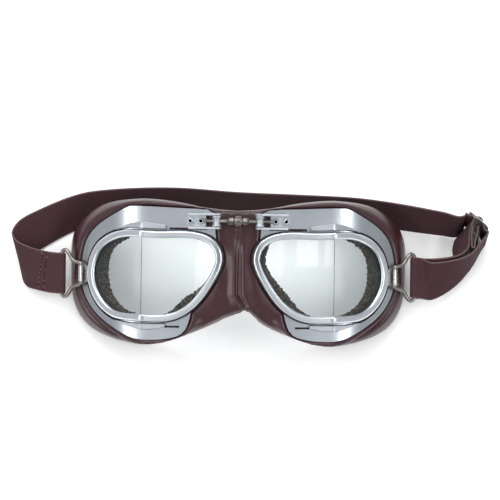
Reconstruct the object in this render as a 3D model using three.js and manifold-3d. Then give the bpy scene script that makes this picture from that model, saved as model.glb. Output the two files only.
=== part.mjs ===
// Pilot goggles lying on their mask, glass up, with the elastic strap looped behind the brow.
// Millimetres. X runs to the right, Y to the brow side, Z up from the table.
import * as THREE from 'three';
import { mergeVertices } from 'three/addons/utils/BufferGeometryUtils.js';
import Module from 'manifold-3d';

const wasm = await Module();
wasm.setup();

// Whole object
const CLEARANCE = 0.3;
const LENS_TILT = THREE.MathUtils.degToRad(16);
const STAND_HEIGHT = 49.4;

// Eye frames: both front panes turn outwards, the side panes bend further back
const FRONT_ANGLE = THREE.MathUtils.degToRad(8);
const SIDE_ANGLE = THREE.MathUtils.degToRad(38);
const SPLIT_X = 53.3;
const EYE_CENTRE_Y = -3;
const RING_POINTS = 72;

// Pressed metal and glass
const PLATE_THICKNESS = 1.2;
const PLATE_BEAD_WIDTH = 1;
const PLATE_BEAD_HEIGHT = 0.5;
const BEZEL_WIDTH = 4.3;
const BEZEL_HEIGHT = 4.1;
const BEZEL_WALL = 1.2;
const BEZEL_LIP = 0.8;
const BEZEL_LIP_DROP = 0.8;
const BEZEL_DRAFT = 0.4;
const BEZEL_CHAMFER = 0.7;
const BEZEL_INNER_DRAFT = 0.2;
const PLATE_UNDER_BEZEL = 4;
const LENS_THICKNESS = 1.8;
const LENS_JOINT = 0.4;
const RETAINER_THICKNESS = 1.2;
const RETAINER_WIDTH = 2.8;
const SLOT_WIDTH = 1.1;
const UPPER_SLOT_GAP = 0.4;
const UPPER_SLOT_X = 27.5;
const UPPER_SLOT_LENGTH = 21;
const LOWER_SLOT_GAP = 2.4;
const LOWER_SLOT_X = 36.2;
const LOWER_SLOT_LENGTH = 8.7;
const BARREL_NOTCH_DEPTH = 6;

// Clips that hold the bezel, creased where the panes meet
const CLIP_INNER_REACH = 13.5;
const CLIP_OUTER_REACH = 12.5;
const CLIP_DEPTH = 4.1;
const CLIP_GAP = 0.5;
const CLIP_HEIGHT = 3.2;
const CLIP_EDGE = 0.8;
const CLIP_DRAFT = 0.3;
const CLIP_CROWN_INSET = 0.5;

// Bridge between the eyes
const PIN_X = 11.4;
const PIN_Y = 27.2;
const PIN_HEIGHT = 3.6;
const PIN_RADIUS = 0.9;
const BARREL_RADIUS = 2.5;
const BARREL_WAIST = 2;
const BARREL_LENGTH = 6;
const BARREL_FLANGE = 1;
const BARREL_TAPER = 0.6;
const EAR_THICKNESS = 1;
const BRACKET_MARGIN = 1.2;
const BRACKET_THICKNESS = 0.8;
const BRACKET_WEB_START = 6.4;
const BRACKET_CHEEK_LENGTH = 9;
const EAR_RADIUS = 2.6;
const EAR_FOOT = 3;
const SCREW_RADIUS = 1;
const SCREW_TAIL = 7.6;
const SCREW_CHAMFER = 0.5;
const WHEEL_RADIUS = 2.9;
const WHEEL_WIDTH = 4.4;
const COLLAR_RADIUS = 2.2;
const COLLAR_WIDTH = 3.8;
const RIVET_HEAD_RADIUS = 1.7;
const RIVET_SHANK_RADIUS = 0.8;
const RIVET_HEAD_HEIGHT = 0.9;
const RIVET_STARTS = 9;
const RIVET_SPACING = 5.8;

// Temple lugs and wire bails
const WIRE_RADIUS = 0.9;
const LUG_INSET = 1.6;
const LUG_Y = -2.7;
const LUG_WALL = 0.7;
const LUG_LENGTH = 9;
const BAIL_REACH = 12.5;
const BAIL_NARROW = 12.6;
const BAIL_WIDE = 26;
const BAIL_SLOPE = THREE.MathUtils.degToRad(25);

// Mask and lining
const MASK_RIM_WIDTH = 5.5;
const MASK_SIDE_DROP = 8;
const MASK_LIP = 0.6;
const MASK_ROLL = 1.6;
const NOSE_HALF_WIDTH = 10;
const NOSE_DEPTH = 14;
const TEMPLE_DEPTH = 41;
const CHEEK_DEPTH = 10.7;
const LINING_THICKNESS = 1.2;
const LINING_GAP = 3;
const LINING_FRONT = 0.06;
const LINING_REAR = 0.75;
const LINING_TEMPLE_PAD = 6.7;
const LINING_NOSE_PAD = 3.6;
const LINING_NOSE_BEARING = THREE.MathUtils.degToRad(215);

// Strap and slider
const STRAP_WIDTH = 23;
const STRAP_THICKNESS = 1.2;
const STRAP_LAP = 15;
const SLIDER_WIRE_RADIUS = 0.7;
const SLIDER_LENGTH = 12.8;
const SLIDER_CORNER = 1.4;
const SLIDER_OUT_FROM_BAR = 36;
const SLIDER_Y = 38.5;
const SLIDER_TURN = THREE.MathUtils.degToRad(42);

// Outlines of the right eye as seen straight on, counter-clockwise from the temple
const BEZEL_OUTLINE = curveThrough([
  [82.7, -2.2], [77.5, 14], [65, 21.6], [43, 21.8], [21, 21.2], [11, 16], [7.4, 6],
  [14.5, -10], [24.5, -22], [36, -28], [54, -28.6], [68, -26.5], [78, -17.5],
], true);
const PLATE_OUTLINE = curveThrough([
  [87.6, -2], [84.6, 16], [78.2, 24.4], [64, 33.4], [60.4, 35], [56, 35.2], [36, 34.4], [18, 33.5], [14, 32.6],
  [12.6, 30.5], [12.3, 18], [8.8, 6], [15.8, -9.6], [25, -21.6], [26.6, -28], [28.6, -33], [32, -36],
  [46, -38.5], [59, -37.2], [78.2, -25], [85.6, -13.7],
], true);
const MASK_OUTLINE = curveThrough([
  [-1, 33], [17, 34.6], [35, 38], [56, 39.4], [78.4, 35.2], [92.4, 22], [94.5, 0], [91.6, -21.5],
  [82, -33.2], [57, -41.2], [41.5, -40.1], [27.5, -35.7], [13.7, -29.7], [-1, -21.5],
], false);

function curveThrough(points, isClosed) {
  const vectors = points.map(([x, y]) => new THREE.Vector3(x, y, 0));
  return new THREE.CatmullRomCurve3(vectors, isClosed, 'centripetal').getPoints(240);
}

// Rays from the eye's centre, on the line where the panes meet, sample every outline alike
const maskCorners = [MASK_OUTLINE[0], MASK_OUTLINE.at(-1)];
const rayAngles = [
  ...Array.from({ length: RING_POINTS }, (_, i) => (i / RING_POINTS) * 2 * Math.PI),
  ...maskCorners.map((p) => (Math.atan2(p.y - EYE_CENTRE_Y, p.x - SPLIT_X) + 2 * Math.PI) % (2 * Math.PI)),
].sort((a, b) => a - b);

function sampleOutline(outline) {
  return rayAngles.map((angle) => {
    const way = new THREE.Vector2(Math.cos(angle), Math.sin(angle));
    let reach = 0;
    outline.forEach((p, i) => {
      const q = outline[(i + 1) % outline.length];
      const edge = new THREE.Vector2(q.x - p.x, q.y - p.y);
      const start = new THREE.Vector2(p.x - SPLIT_X, p.y - EYE_CENTRE_Y);
      const cross = way.cross(edge);
      if (Math.abs(cross) < 1e-9) return;
      const along = start.cross(edge) / cross;
      const share = start.cross(way) / cross;
      if (share >= -1e-9 && share <= 1 + 1e-9) reach = Math.max(reach, along);
    });
    return new THREE.Vector2(SPLIT_X + way.x * reach, EYE_CENTRE_Y + way.y * reach);
  });
}

// Moves a sampled outline outwards by a distance; points on the split line stay on it
function offsetOutline(points, distance) {
  return points.map((p, i) => {
    const before = points.at(i - 1);
    const after = points[(i + 1) % points.length];
    const normal = new THREE.Vector2(after.y - before.y, before.x - after.x).normalize();
    const x = Math.abs(p.x - SPLIT_X) < 1e-6 ? SPLIT_X : p.x + normal.x * distance;
    return new THREE.Vector2(x, p.y + normal.y * distance);
  });
}

const bezelRing = sampleOutline(BEZEL_OUTLINE);
const plateRing = sampleOutline(PLATE_OUTLINE);
const maskRing = sampleOutline(MASK_OUTLINE);

// The folded sheet that the front and side panes lie on
function frameDepth(x) {
  const front = -Math.tan(FRONT_ANGLE) * (Math.min(Math.max(x, PIN_X), SPLIT_X) - PIN_X);
  return front - Math.tan(SIDE_ANGLE) * Math.max(0, x - SPLIT_X);
}

function onFrame(x, y, height) {
  const fold = (FRONT_ANGLE + SIDE_ANGLE) / 2;
  const atSplit = Math.abs(x - SPLIT_X) < 1e-6;
  const paneAngle = x < SPLIT_X ? FRONT_ANGLE : SIDE_ANGLE;
  const angle = atSplit ? fold : paneAngle;
  const stretch = atSplit ? 1 / Math.cos((SIDE_ANGLE - FRONT_ANGLE) / 2) : 1;
  const reach = height * stretch;
  return new THREE.Vector3(x + Math.sin(angle) * reach, y, frameDepth(x) + Math.cos(angle) * reach);
}

// Solids from rings of points
function geometryFrom(points, triangles) {
  const geometry = new THREE.BufferGeometry();
  geometry.setAttribute('position', new THREE.Float32BufferAttribute(points.flatMap((p) => p.toArray()), 3));
  geometry.setIndex(triangles.flat());
  return facingOut(geometry);
}

function facingOut(geometry) {
  const position = geometry.getAttribute('position');
  const corner = (i) => new THREE.Vector3().fromBufferAttribute(position, geometry.index.getX(i));
  let volume = 0;
  for (let i = 0; i < geometry.index.count; i += 3) {
    volume += corner(i).dot(corner(i + 1).cross(corner(i + 2)));
  }
  if (volume < 0) {
    const index = Array.from(geometry.index.array);
    for (let i = 0; i < index.length; i += 3) {
      [index[i + 1], index[i + 2]] = [index[i + 2], index[i + 1]];
    }
    geometry.setIndex(index);
  }
  return geometry;
}

// Rings that close round the eye, joined in a loop of sections
function loopLoft(rings) {
  const count = rings[0].length;
  const triangles = [];
  rings.forEach((_, r) => {
    const next = (r + 1) % rings.length;
    for (let i = 0; i < count; i += 1) {
      const j = (i + 1) % count;
      triangles.push([r * count + i, r * count + j, next * count + j]);
      triangles.push([r * count + i, next * count + j, next * count + i]);
    }
  });
  return geometryFrom(rings.flat(), triangles);
}

// Sections in a row, closed by a fan at each end
function rowLoft(sections) {
  const count = sections[0].length;
  const triangles = [];
  for (let s = 0; s + 1 < sections.length; s += 1) {
    for (let i = 0; i < count; i += 1) {
      const j = (i + 1) % count;
      triangles.push([s * count + i, s * count + j, (s + 1) * count + j]);
      triangles.push([s * count + i, (s + 1) * count + j, (s + 1) * count + i]);
    }
  }
  const last = (sections.length - 1) * count;
  for (let i = 1; i + 1 < count; i += 1) {
    triangles.push([0, i + 1, i]);
    triangles.push([last, last + i, last + i + 1]);
  }
  return geometryFrom(sections.flat(), triangles);
}

function toSolid(geometry) {
  const bare = geometry.clone();
  bare.deleteAttribute('normal');
  bare.deleteAttribute('uv');
  const merged = mergeVertices(bare, 1e-4);
  const vertProperties = new Float32Array(merged.getAttribute('position').array);
  const triVerts = new Uint32Array(merged.index.array);
  return new wasm.Manifold(new wasm.Mesh({ numProp: 3, vertProperties, triVerts }));
}

function toGeometry(solid) {
  const { vertProperties, triVerts } = solid.getMesh();
  const geometry = new THREE.BufferGeometry();
  geometry.setAttribute('position', new THREE.BufferAttribute(new Float32Array(vertProperties), 3));
  geometry.setIndex(Array.from(triVerts));
  return geometry;
}

function boxBetween(low, high) {
  const size = high.clone().sub(low);
  const centre = low.clone().add(high).divideScalar(2);
  return new THREE.BoxGeometry(size.x, size.y, size.z).translate(centre.x, centre.y, centre.z);
}

// Materials
function finish(color, roughness, metalness) {
  return () => new THREE.MeshStandardMaterial({ color, roughness, metalness });
}
const rubber = finish(0x4a2c30, 0.55, 0);
const felt = finish(0x46413a, 0.95, 0);
const satinMetal = finish(0xb9bfc6, 0.35, 1);
const nickel = finish(0x8f877e, 0.3, 1);
const elastic = finish(0x422e32, 0.85, 0);
const steel = finish(0x77736f, 0.5, 1);

function clearGlass() {
  return new THREE.MeshStandardMaterial({ color: 0xc8d2d0, roughness: 0.05, transparent: true, opacity: 0.3 });
}

function piece(name, geometry, material) {
  const mesh = new THREE.Mesh(geometry, material());
  mesh.name = name;
  return mesh;
}

// Metal frame and glass of the right eye
const framed = (ring, distance, height) => offsetOutline(ring, distance).map((p) => onFrame(p.x, p.y, height));

const eyeCentre = new THREE.Vector2(SPLIT_X, EYE_CENTRE_Y);
const fartherOut = (p, q) => (p.distanceTo(eyeCentre) > q.distanceTo(eyeCentre) ? p : q);

// From 1 where the plate stands well out from under the bezel to 0 where the bezel covers its edge
const plateShows = plateRing.map((p, i) => {
  const margin = p.distanceTo(eyeCentre) - bezelRing[i].distanceTo(eyeCentre);
  return THREE.MathUtils.smoothstep(margin, PLATE_BEAD_WIDTH, 3 * PLATE_BEAD_WIDTH);
});

function backPlate() {
  const inner = -PLATE_UNDER_BEZEL;
  const beaded = (distance) => offsetOutline(plateRing, distance)
    .map((p, i) => onFrame(p.x, p.y, PLATE_BEAD_HEIGHT * plateShows[i]));
  const plate = toSolid(loopLoft([
    framed(plateRing, 0, -PLATE_THICKNESS),
    beaded(0),
    beaded(-PLATE_BEAD_WIDTH),
    framed(plateRing, -PLATE_BEAD_WIDTH - PLATE_BEAD_HEIGHT, 0),
    framed(bezelRing, inner, 0),
    framed(bezelRing, inner, -PLATE_THICKNESS),
  ]));
  return toGeometry(rivetHoles(plateSlots(barrelNotch(plate))));
}

// Room for the trunnion barrel at the plate's nasal end
function barrelNotch(solid) {
  const notch = new THREE.BoxGeometry(2 * BARREL_NOTCH_DEPTH, BARREL_LENGTH, 4 * PLATE_THICKNESS);
  return solid.subtract(toSolid(onFrontPane(notch, PIN_X, PIN_Y, 0)));
}

// Narrow slots in the plate beside the clips, along the bezel's edge
function plateSlots(solid) {
  const slot = (x, length, away, gap) => {
    const y = bezelEdge(x, away) + away * (gap + SLOT_WIDTH / 2);
    return toSolid(onFrontPane(new THREE.BoxGeometry(length, SLOT_WIDTH, 4 * PLATE_THICKNESS), x, y, 0));
  };
  return solid
    .subtract(slot(UPPER_SLOT_X, UPPER_SLOT_LENGTH, 1, UPPER_SLOT_GAP))
    .subtract(slot(LOWER_SLOT_X, LOWER_SLOT_LENGTH, -1, LOWER_SLOT_GAP));
}

function bezel() {
  const lipUnder = BEZEL_HEIGHT - BEZEL_LIP - BEZEL_LIP_DROP;
  return loopLoft([
    framed(bezelRing, 0, CLEARANCE),
    framed(bezelRing, -BEZEL_DRAFT, BEZEL_HEIGHT - BEZEL_CHAMFER),
    framed(bezelRing, -BEZEL_DRAFT - BEZEL_CHAMFER, BEZEL_HEIGHT),
    framed(bezelRing, -BEZEL_WIDTH + BEZEL_CHAMFER, BEZEL_HEIGHT),
    framed(bezelRing, -BEZEL_WIDTH, lipUnder + BEZEL_LIP),
    framed(bezelRing, -BEZEL_WIDTH, lipUnder),
    framed(bezelRing, -BEZEL_WALL - BEZEL_INNER_DRAFT, lipUnder),
    framed(bezelRing, -BEZEL_WALL, CLEARANCE),
  ]);
}

// A flat pane between the split line and the bezel's wall
function pane(isFront) {
  const outline = offsetOutline(bezelRing, -BEZEL_WALL - BEZEL_INNER_DRAFT - CLEARANCE);
  const side = isFront ? -1 : 1;
  const cut = SPLIT_X + side * LENS_JOINT / 2;
  const beyond = outline.filter((p) => (p.x - SPLIT_X) * side > LENS_JOINT);
  const ends = outline.filter((p) => Math.abs(p.x - SPLIT_X) < 1e-6).map((p) => new THREE.Vector2(cut, p.y));
  const around = [...beyond, ...ends];
  const middle = new THREE.Vector2(cut + side * 15, EYE_CENTRE_Y);
  const bearing = (p) => Math.atan2(p.y - middle.y, p.x - middle.x);
  around.sort((a, b) => bearing(a) - bearing(b));
  const back = around.map((p) => onFrame(p.x, p.y, CLEARANCE));
  const front = around.map((p) => onFrame(p.x, p.y, CLEARANCE + LENS_THICKNESS));
  return rowLoft([back, front]);
}

function retainingRing() {
  const top = -PLATE_THICKNESS - CLEARANCE;
  const outer = -CLEARANCE * 1.3;
  return loopLoft([
    framed(bezelRing, outer, top),
    framed(bezelRing, outer - RETAINER_WIDTH, top),
    framed(bezelRing, outer - RETAINER_WIDTH, top - RETAINER_THICKNESS),
    framed(bezelRing, outer, top - RETAINER_THICKNESS),
  ]);
}

// Where the bezel's outer edge lies above or below a place along it
function bezelEdge(x, away) {
  const beside = BEZEL_OUTLINE.filter((p) => Math.abs(p.x - x) < 1 && (p.y - EYE_CENTRE_Y) * away > 0);
  return away * Math.max(...beside.map((p) => p.y * away));
}

// A pressed clip along the bezel's top or bottom wall, highest at the crease
function bezelClip(isTop) {
  const away = isTop ? 1 : -1;
  // Each row: the place along the bezel, then the shares of the full depth and height there
  const stations = [
    [-CLIP_INNER_REACH, 0.6, 0.5], [-CLIP_INNER_REACH * 0.55, 0.8, 0.75], [0, 0.95, 1],
    [CLIP_OUTER_REACH * 0.5, 0.7, 0.75], [CLIP_OUTER_REACH, 0.3, 0.45],
  ];
  return rowLoft(stations.map(([along, depth, height]) => {
    const x = SPLIT_X + along;
    const near = bezelEdge(x, away) + away * CLIP_GAP;
    const far = near + away * CLIP_DEPTH * depth;
    return [
      onFrame(x, near, CLEARANCE),
      onFrame(x, far, CLEARANCE),
      onFrame(x, far - away * CLIP_DRAFT, CLEARANCE + CLIP_EDGE),
      onFrame(x, near + away * CLIP_CROWN_INSET, CLEARANCE + CLIP_HEIGHT * height),
    ];
  }));
}

// Bridge hardware
const rivetXs = [PIN_X + RIVET_STARTS, PIN_X + RIVET_STARTS + RIVET_SPACING];
const bracketLength = RIVET_STARTS + RIVET_SPACING + BRACKET_MARGIN;

// Places a shape made around the origin, with Z along the front pane's normal, at a point of the pane
function onFrontPane(geometry, x, y, height) {
  const at = onFrame(x, y, height);
  return geometry.rotateY(FRONT_ANGLE).translate(at.x, at.y, at.z);
}

function rivetHoles(solid) {
  const radius = RIVET_SHANK_RADIUS + CLEARANCE;
  return rivetXs.reduce((rest, x) => {
    const drill = new THREE.CylinderGeometry(radius, radius, 8, 10);
    return rest.subtract(toSolid(onFrontPane(drill.rotateX(Math.PI / 2), x, PIN_Y, 0)));
  }, solid);
}

function rivet(x) {
  const seat = CLEARANCE * 2 + BRACKET_THICKNESS;
  const tail = -PLATE_THICKNESS;
  const profile = [
    [0, tail], [RIVET_SHANK_RADIUS, tail], [RIVET_SHANK_RADIUS, seat], [RIVET_HEAD_RADIUS, seat],
    [RIVET_HEAD_RADIUS * 0.75, seat + RIVET_HEAD_HEIGHT], [RIVET_SHANK_RADIUS * 0.8, seat + RIVET_HEAD_HEIGHT],
    [RIVET_SHANK_RADIUS * 0.6, seat], [0, seat],
  ].map(([r, h]) => new THREE.Vector2(r, h));
  return onFrontPane(new THREE.LatheGeometry(profile, 12).rotateX(Math.PI / 2), x, PIN_Y, 0);
}

function bridgeBracket() {
  const halfGap = BARREL_LENGTH / 2 + CLEARANCE;
  const low = CLEARANCE;
  const raised = CLEARANCE * 2 + PLATE_BEAD_HEIGHT;
  const outline = new THREE.Shape();
  outline.moveTo(bracketLength, low);
  outline.lineTo(bracketLength, low + 2 * BRACKET_THICKNESS);
  outline.lineTo(BRACKET_CHEEK_LENGTH, PIN_HEIGHT);
  outline.lineTo(EAR_RADIUS, PIN_HEIGHT + EAR_RADIUS);
  outline.absarc(0, PIN_HEIGHT, EAR_RADIUS, Math.PI / 2, Math.PI * 1.5, false);
  outline.lineTo(EAR_FOOT, raised);
  outline.lineTo(BRACKET_WEB_START, low);
  outline.closePath();
  const bolt = new THREE.Path();
  bolt.absarc(0, PIN_HEIGHT, PIN_RADIUS + CLEARANCE, 0, 2 * Math.PI, true);
  outline.holes.push(bolt);
  const cut = { depth: EAR_THICKNESS, bevelEnabled: false, curveSegments: 8 };
  const ear = (y) => toSolid(new THREE.ExtrudeGeometry(outline, cut).rotateX(Math.PI / 2).translate(0, y, 0));
  const web = toSolid(boxBetween(
    new THREE.Vector3(BRACKET_WEB_START, -halfGap - EAR_THICKNESS, low),
    new THREE.Vector3(bracketLength, halfGap + EAR_THICKNESS, low + BRACKET_THICKNESS),
  ));
  const bracket = toGeometry(ear(halfGap + EAR_THICKNESS).add(ear(-halfGap)).add(web));
  return toGeometry(rivetHoles(toSolid(onFrontPane(bracket, PIN_X, PIN_Y, 0))));
}

const pinPoint = onFrame(PIN_X, PIN_Y, PIN_HEIGHT);

function trunnion() {
  const half = BARREL_LENGTH / 2;
  const pinEnd = half + CLEARANCE + EAR_THICKNESS;
  const profile = [
    [0, -pinEnd], [PIN_RADIUS, -pinEnd], [PIN_RADIUS, -half], [BARREL_RADIUS, -half],
    [BARREL_RADIUS, -half + BARREL_FLANGE], [BARREL_WAIST, -half + BARREL_FLANGE + BARREL_TAPER],
    [BARREL_WAIST, half - BARREL_FLANGE - BARREL_TAPER], [BARREL_RADIUS, half - BARREL_FLANGE],
    [BARREL_RADIUS, half], [PIN_RADIUS, half], [PIN_RADIUS, pinEnd], [0, pinEnd],
  ].map(([r, h]) => new THREE.Vector2(r, h));
  const barrel = toSolid(new THREE.LatheGeometry(profile, 12));
  const boreRadius = SCREW_RADIUS + CLEARANCE;
  const bore = new THREE.CylinderGeometry(boreRadius, boreRadius, 4 * BARREL_RADIUS, 12);
  const drilled = toGeometry(barrel.subtract(toSolid(bore.rotateZ(Math.PI / 2))));
  return drilled.translate(pinPoint.x, pinPoint.y, pinPoint.z);
}

function bridgeScrew() {
  const end = pinPoint.x + SCREW_TAIL;
  const wheel = WHEEL_WIDTH / 2;
  const collar = wheel + COLLAR_WIDTH;
  const half = [
    [WHEEL_RADIUS, 0], [WHEEL_RADIUS, wheel - SCREW_CHAMFER], [WHEEL_RADIUS - SCREW_CHAMFER, wheel],
    [COLLAR_RADIUS - SCREW_CHAMFER, wheel + SCREW_CHAMFER], [COLLAR_RADIUS, wheel + 2 * SCREW_CHAMFER],
    [COLLAR_RADIUS, collar - SCREW_CHAMFER], [SCREW_RADIUS, collar], [SCREW_RADIUS, end - SCREW_CHAMFER],
    [SCREW_RADIUS - SCREW_CHAMFER, end], [0, end],
  ];
  const mirrored = half.slice(1).reverse().map(([r, h]) => [r, -h]);
  const profile = [...mirrored, ...half].map(([r, h]) => new THREE.Vector2(r, h));
  const turned = new THREE.LatheGeometry(profile, 12).rotateZ(-Math.PI / 2);
  return turned.translate(0, pinPoint.y, pinPoint.z);
}

// Temple lug, bail and the bar that the strap goes round
const lugHeight = PLATE_BEAD_HEIGHT + CLEARANCE + WIRE_RADIUS + CLEARANCE + LUG_WALL;
const plateEnd = Math.max(...plateRing.map((p) => p.x));
const lugPoint = onFrame(plateEnd - LUG_INSET, LUG_Y, lugHeight);
const bailWay = new THREE.Vector3(Math.cos(BAIL_SLOPE), 0, -Math.sin(BAIL_SLOPE));
const barPoint = lugPoint.clone().addScaledVector(bailWay, BAIL_REACH);

function templeLug() {
  const outer = WIRE_RADIUS + CLEARANCE + LUG_WALL;
  const outline = new THREE.Shape();
  outline.moveTo(-outer, -outer);
  outline.lineTo(outer, -outer);
  outline.absarc(0, 0, outer, 0, Math.PI, false);
  outline.closePath();
  const bore = new THREE.Path();
  bore.absarc(0, 0, WIRE_RADIUS + CLEARANCE, 0, 2 * Math.PI, true);
  outline.holes.push(bore);
  const cut = { depth: LUG_LENGTH, bevelEnabled: false, curveSegments: 8 };
  const knuckle = new THREE.ExtrudeGeometry(outline, cut);
  knuckle.rotateX(Math.PI / 2).translate(0, LUG_LENGTH / 2, 0).rotateY(SIDE_ANGLE);
  return mergeVertices(bareGeometry(knuckle)).translate(lugPoint.x, lugPoint.y, lugPoint.z);
}

function bareGeometry(geometry) {
  geometry.deleteAttribute('normal');
  geometry.deleteAttribute('uv');
  return geometry;
}

// A wire ring along a flat closed path, given as points in its plane
function wireRing(path, steps, radius, sides) {
  const vectors = path.map(([u, v]) => new THREE.Vector3(u, v, 0));
  const curve = new THREE.CatmullRomCurve3(vectors, true, 'centripetal');
  const centres = curve.getPoints(steps).slice(0, -1);
  const rings = Array.from({ length: sides }, (_, k) => {
    const turn = (k / sides) * 2 * Math.PI;
    return centres.map((p, i) => {
      const before = centres.at(i - 1);
      const after = centres[(i + 1) % centres.length];
      const across = new THREE.Vector3(after.y - before.y, before.x - after.x, 0).normalize();
      return p.clone().addScaledVector(across, Math.cos(turn) * radius).setZ(Math.sin(turn) * radius);
    });
  });
  return loopLoft(rings);
}

function bail() {
  const narrow = BAIL_NARROW / 2;
  const wide = BAIL_WIDE / 2;
  const half = [
    [0, narrow - 4], [0, narrow - 2], [0.5, narrow - 0.5], [2.5, narrow], [BAIL_REACH * 0.45, narrow + 1.2],
    [BAIL_REACH * 0.64, wide - 1.8], [BAIL_REACH - 2.9, wide - 0.1], [BAIL_REACH - 1.3, wide],
    [BAIL_REACH, wide - 1.3], [BAIL_REACH, wide - 3], [BAIL_REACH, wide - 6],
  ];
  const path = [...half.map(([u, v]) => [u, -v]).reverse(), ...half].reverse();
  const wire = wireRing(path, 48, WIRE_RADIUS, 8);
  return wire.rotateY(BAIL_SLOPE).translate(lugPoint.x, lugPoint.y, lugPoint.z);
}

// Mask: one moulding over both eyes, cut into two cups and the nose bridge
function tableDepth(y) {
  return -(STAND_HEIGHT + y * Math.sin(LENS_TILT)) / Math.cos(LENS_TILT);
}

function rimDepth(x, y) {
  const widest = Math.max(...maskRing.map((p) => p.x));
  const lowest = -Math.min(...maskRing.map((p) => p.y));
  const spread = Math.max(0, x) / widest;
  const face = -NOSE_DEPTH - TEMPLE_DEPTH * spread ** 1.8 - CHEEK_DEPTH * Math.max(0, -y) / lowest;
  return Math.max(face, tableDepth(y));
}

// How far a point belongs to the nose, from 1 at the middle to 0 at the pins
function noseShare(x) {
  return 1 - THREE.MathUtils.smoothstep(x, 0, PIN_X);
}

const mixed = (a, b, share) => a.map((p, i) => p.clone().lerp(b[i], share));
const maskRim = maskRing.map((p) => p.clone().lerp(eyeCentre, MASK_RIM_WIDTH / p.distanceTo(eyeCentre)));
const maskInnerFront = framed(bezelRing, 0, -PLATE_THICKNESS - CLEARANCE - RETAINER_THICKNESS);
const maskInnerRear = maskRim.map((p) => new THREE.Vector3(p.x, p.y, rimDepth(p.x, p.y)));

function maskHalf() {
  const besideBezel = offsetOutline(bezelRing, CLEARANCE);
  const lip = offsetOutline(plateRing, MASK_LIP).map((p, i) => fartherOut(p, besideBezel[i]));
  const sideDrop = (p) => MASK_SIDE_DROP * (1 - 0.7 * noseShare(p.x));
  const roll = (p, i) => MASK_ROLL * plateShows[i] * THREE.MathUtils.smoothstep(p.x, PIN_X, 2 * PIN_X);
  const lifted = (points, lift) => points.map((p, i) => (
    new THREE.Vector3(p.x, p.y, frameDepth(p.x) + lift(p, i))
  ));
  return loopLoft([
    lip.map((p) => onFrame(p.x, p.y, -PLATE_THICKNESS - CLEARANCE)),
    lifted(lip, () => CLEARANCE / 2),
    lifted(mixed(lip, maskRing, 0.25), (p, i) => CLEARANCE / 2 + 0.8 * roll(p, i)),
    lifted(mixed(lip, maskRing, 0.55), (p, i) => roll(p, i) - 0.08 * sideDrop(p)),
    lifted(mixed(lip, maskRing, 0.87), (p) => -0.3 * sideDrop(p)),
    lifted(maskRing, (p) => -sideDrop(p)),
    maskRing.map((p) => new THREE.Vector3(p.x, p.y, rimDepth(p.x, p.y))),
    maskInnerRear,
    maskInnerFront,
    framed(bezelRing, 0, -PLATE_THICKNESS - CLEARANCE),
  ]);
}

function maskPieces() {
  const right = toSolid(maskHalf());
  const left = right.mirror([1, 0, 0]);
  const whole = right.add(left);
  const far = 200;
  const corner = (x, reach) => new THREE.Vector3(x, reach, reach);
  const slab = (low, high) => toSolid(boxBetween(corner(low, -far), corner(high, far)));
  return {
    cup: toGeometry(whole.intersect(slab(NOSE_HALF_WIDTH + CLEARANCE, far))),
    nose: toGeometry(whole.intersect(slab(-NOSE_HALF_WIDTH, NOSE_HALF_WIDTH))),
  };
}

// Felt inside the cup, along the mask's inner wall, padded out at the temple and beside the nose
function liningDepth(angle) {
  const temple = Math.max(0, Math.cos(angle)) ** 1.5;
  const nose = Math.max(0, Math.cos(angle - LINING_NOSE_BEARING)) ** 4;
  return LINING_THICKNESS + LINING_TEMPLE_PAD * temple + LINING_NOSE_PAD * nose;
}

function lining() {
  const wall = (share, inset) => maskInnerFront.map((p, i) => {
    const at = p.clone().lerp(maskInnerRear[i], share);
    const inwards = new THREE.Vector3(SPLIT_X - at.x, EYE_CENTRE_Y - at.y, 0).normalize();
    return at.addScaledVector(inwards, LINING_GAP + inset(rayAngles[i]));
  });
  return loopLoft([
    wall(LINING_FRONT, () => 0),
    wall(LINING_REAR, () => 0),
    wall(LINING_REAR, liningDepth),
    wall(LINING_FRONT, liningDepth),
  ]);
}

// Strap: a ribbon between a lower edge and an upper edge. A station is the lower edge's place and
// the way that the strap's width points there.
const tableUp = new THREE.Vector3(0, 0, STAND_HEIGHT);
const rightBar = barPoint.clone().applyAxisAngle(new THREE.Vector3(1, 0, 0), LENS_TILT).add(tableUp);
const leftBar = rightBar.clone().multiply(new THREE.Vector3(-1, 1, 1));
const barWidthWay = new THREE.Vector3(0, Math.cos(LENS_TILT), Math.sin(LENS_TILT));

function station([x, y, z], way) {
  return { low: new THREE.Vector3(x, y, z), way: new THREE.Vector3(...way).normalize() };
}

function ribbon(stations, steps) {
  const lowCurve = new THREE.CatmullRomCurve3(stations.map((s) => s.low), false, 'centripetal');
  const highCurve = new THREE.CatmullRomCurve3(
    stations.map((s) => s.low.clone().addScaledVector(s.way, STRAP_WIDTH)), false, 'centripetal',
  );
  const sections = [];
  for (let i = 0; i <= steps; i += 1) {
    const t = i / steps;
    const low = lowCurve.getPoint(t);
    const high = highCurve.getPoint(t);
    const along = lowCurve.getTangent(t).add(highCurve.getTangent(t)).normalize();
    const across = high.clone().sub(low).cross(along).setLength(STRAP_THICKNESS / 2);
    sections.push([
      low.clone().add(across), high.clone().add(across), high.clone().sub(across), low.clone().sub(across),
    ]);
  }
  return rowLoft(sections);
}

// The sewn left end: two plies round the bail's bar
const lapWay = new THREE.Vector3(-0.95, 0.09, -0.3).normalize();

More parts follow.
